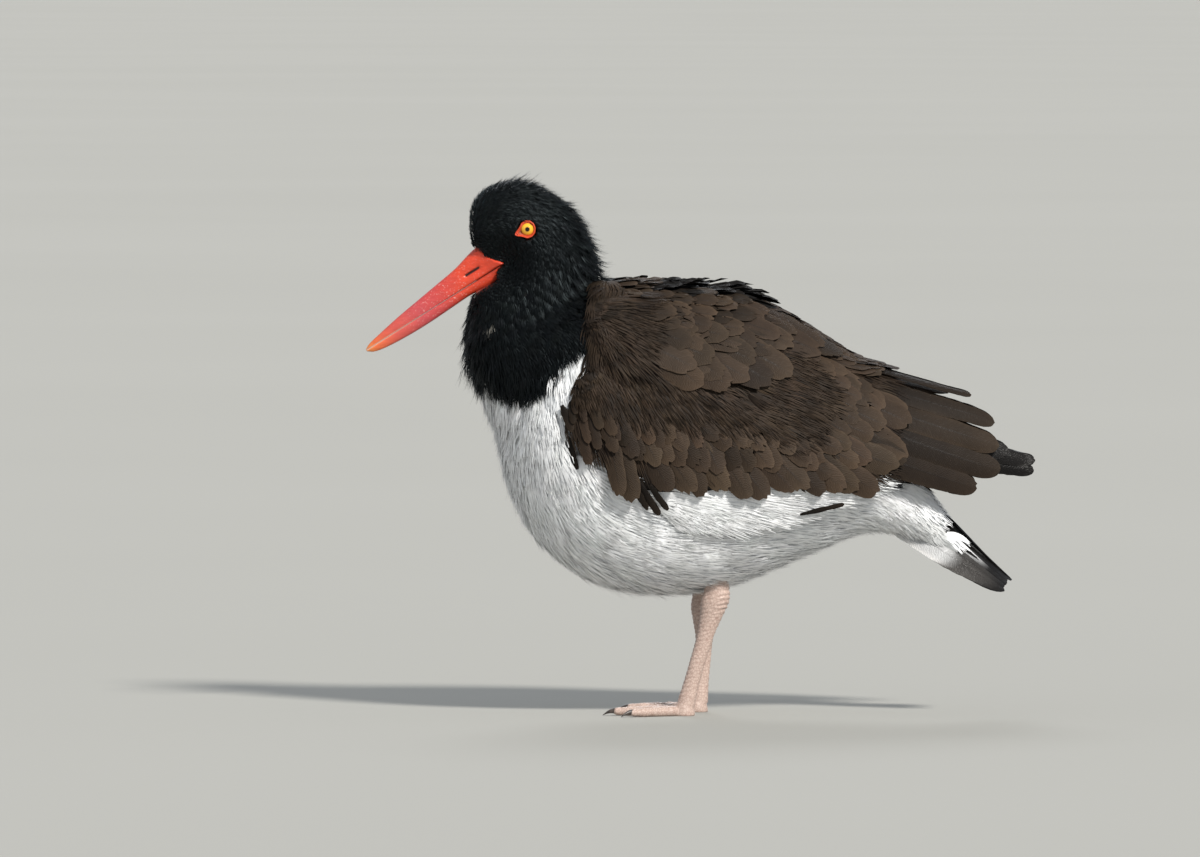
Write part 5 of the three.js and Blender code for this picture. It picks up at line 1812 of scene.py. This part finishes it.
def build_claws():
    """Claws: cones that curve down from the toe's end to a worn point on the floor."""
    material, tree, shader = new_material("Claw horn", 0.35, Specular_IOR_Level=0.5)
    coords = own_place(tree)
    tones = [(0.3, (0.02, 0.016, 0.014)), (0.75, (0.09, 0.07, 0.06))]
    link(tree, ramp(tree, noise(tree, coords, 300, 3.0), tones), shader.inputs["Base Color"])
    link(tree, varied(tree, coords, 700, 2.0, 0.3, 0.25), shader.inputs["Roughness"])
    s = np.linspace(0, 1, 18)
    around = np.linspace(0, 2 * np.pi, 15)[:-1]
    for side, sign in SIDES.items():
        foot = foot_place(side)
        for toe, (heading, length, _) in TOES.items():
            forward, across = toe_axes(math.radians(heading) * sign)
            away = TOE_ROOT + length - 2.2 + 7.6 * s
            size = 1.55 * (1 - s**1.3) + 0.12
            middle = np.array([*foot, 0.0]) + forward * away[:, None]
            middle[:, 2] = 2.5 + 0.5 * np.sin(np.pi * s) - 2.3 * s**1.6
            ring = middle[:, None] + (size[:, None] * 0.85 * np.cos(around))[..., None] * across
            ring[..., 2] += size[:, None] * np.sin(around)
            ring[..., 2] = np.maximum(ring[..., 2], 0.02)
            mesh = tube_mesh(f"claw_{toe}_{side}_horn", ring[:, ::-1])
            declare(place(mesh, material), "claw", f"claw_{toe}_{side}")


def build_stage():
    """Pale floor, soft light, and the camera on the bird's left side."""
    sizes = settings()[1]
    material, tree, shader = new_material("Floor", 0.9, Specular_IOR_Level=0.15)
    tones = [(0.3, (0.36, 0.356, 0.33)), (0.7, (0.37, 0.366, 0.34))]
    link(tree, ramp(tree, noise(tree, own_place(tree), 0.6, 2.0), tones), shader.inputs["Base Color"])
    corners = FLOOR_REACH * np.array([[-1, -1, 0], [1, -1, 0], [1, 1, 0], [-1, 1, 0]]) / MM
    floor = place(mesh_of("floor", corners, np.array([[0, 1, 2, 3]])), material)
    for name, way, power, spread, colour in (
        ("key", (-0.42, 0.74, -0.66), 4.3, 9.0, (1.0, 0.965, 0.91)),
        ("rim", (0.1, -0.9, -0.65), 0.8, 20.0, (0.93, 0.96, 1.0)),
    ):
        data = bpy.data.lights.new(name, "SUN")
        data.energy = power
        data.angle = math.radians(spread)
        data.color = colour
        lamp = bpy.data.objects.new(name, data)
        lamp.rotation_euler = Vector(way).to_track_quat("-Z", "Y").to_euler()
        bpy.context.scene.collection.objects.link(lamp)
    world = bpy.data.worlds.new("Studio")
    world.use_nodes = True
    sky = world.node_tree.nodes["Background"]
    sky.inputs["Color"].default_value = (0.78, 0.83, 0.9, 1)
    sky.inputs["Strength"].default_value = 0.6
    bpy.context.scene.world = world
    bpy.context.scene.view_settings.view_transform = "Standard"
    rise = sizes.camera_rise
    data = bpy.data.cameras.new("camera")
    data.sensor_width = 36.0
    data.lens = data.sensor_width * sizes.camera_distance / VIEW_WIDTH
    data.clip_end = 1000.0
    camera = bpy.data.objects.new("camera", data)
    back = np.array([0.0, -math.cos(rise), math.sin(rise)])
    camera.location = VIEW_MIDDLE * MM + sizes.camera_distance * back
    camera.rotation_euler = (math.pi / 2 - rise, 0, 0)
    bpy.context.scene.collection.objects.link(camera)
    bpy.context.scene.camera = camera


class BIRD_OT_stage(bpy.types.Operator):
    """Floor, lights, sky and camera"""
    bl_idname = "bird.stage"
    bl_label = "Stage"

    def execute(self, context):
        build_stage()
        return {"FINISHED"}


class BIRD_OT_skin(bpy.types.Operator):
    """One skin over head, body, legs and toes"""
    bl_idname = "bird.skin"
    bl_label = "Skin"

    def execute(self, context):
        build_skin()
        return {"FINISHED"}


class BIRD_OT_bill(bpy.types.Operator):
    """Upper and lower bill"""
    bl_idname = "bird.bill"
    bl_label = "Bill"

    def execute(self, context):
        build_bill()
        return {"FINISHED"}


class BIRD_OT_eyes(bpy.types.Operator):
    """Eyeballs and the bare rings round them"""
    bl_idname = "bird.eyes"
    bl_label = "Eyes"

    def execute(self, context):
        build_eyes()
        return {"FINISHED"}


class BIRD_OT_claws(bpy.types.Operator):
    """Claws of all toes"""
    bl_idname = "bird.claws"
    bl_label = "Claws"

    def execute(self, context):
        build_claws()
        return {"FINISHED"}


class BIRD_OT_black_coat(bpy.types.Operator):
    """Black feathers of head and neck"""
    bl_idname = "bird.black_coat"
    bl_label = "Head and neck feathers"

    def execute(self, context):
        build_head()
        build_neck()
        return {"FINISHED"}


class BIRD_OT_white_coat(bpy.types.Operator):
    """White feathers of breast, belly, flanks and thighs"""
    bl_idname = "bird.white_coat"
    bl_label = "Breast and belly feathers"

    def execute(self, context):
        build_white()
        return {"FINISHED"}


class BIRD_OT_wings(bpy.types.Operator):
    """Coverts, shoulder feathers, tertials, primaries and white secondaries"""
    bl_idname = "bird.wings"
    bl_label = "Wing feathers"

    def execute(self, context):
        for side in SIDES:
            build_wing_shell(side)
            build_coverts(side)
            build_scapulars(side)
            build_flight(side)
            build_secondaries(side)
        build_mantle()
        build_rump()
        return {"FINISHED"}


class BIRD_OT_tail(bpy.types.Operator):
    """Tail feathers"""
    bl_idname = "bird.tail"
    bl_label = "Tail feathers"

    def execute(self, context):
        build_tail()
        return {"FINISHED"}


class BIRD_PT_pieces(bpy.types.Panel):
    """Lists the pieces of the bird"""
    bl_idname = "BIRD_PT_pieces"
    bl_label = "Oystercatcher"
    bl_space_type = "VIEW_3D"
    bl_region_type = "UI"
    bl_category = "Bird"

    def draw(self, context):
        for operator in OPERATORS:
            self.layout.operator(operator.bl_idname)
        for group in (context.scene.bird_colours, context.scene.bird_sizes):
            box = self.layout.box()
            for name in group.__annotations__:
                box.prop(group, name)


OPERATORS = (
    BIRD_OT_stage, BIRD_OT_skin, BIRD_OT_bill, BIRD_OT_eyes, BIRD_OT_claws, BIRD_OT_black_coat,
    BIRD_OT_white_coat, BIRD_OT_wings, BIRD_OT_tail,
)
CLASSES = (BirdColours, BirdSizes, *OPERATORS, BIRD_PT_pieces)


def register():
    for cls in CLASSES:
        bpy.utils.register_class(cls)
    bpy.types.Scene.bird_colours = bpy.props.PointerProperty(type=BirdColours)
    bpy.types.Scene.bird_sizes = bpy.props.PointerProperty(type=BirdSizes)


def unregister():
    del bpy.types.Scene.bird_sizes
    del bpy.types.Scene.bird_colours
    for cls in reversed(CLASSES):
        bpy.utils.unregister_class(cls)


def main():
    register()
    bpy.ops.bird.stage()
    bpy.ops.bird.skin()
    bpy.ops.bird.bill()
    bpy.ops.bird.eyes()
    bpy.ops.bird.claws()
    bpy.ops.bird.black_coat()
    bpy.ops.bird.white_coat()
    bpy.ops.bird.wings()
    bpy.ops.bird.tail()


if __name__ == "__main__":
    main()
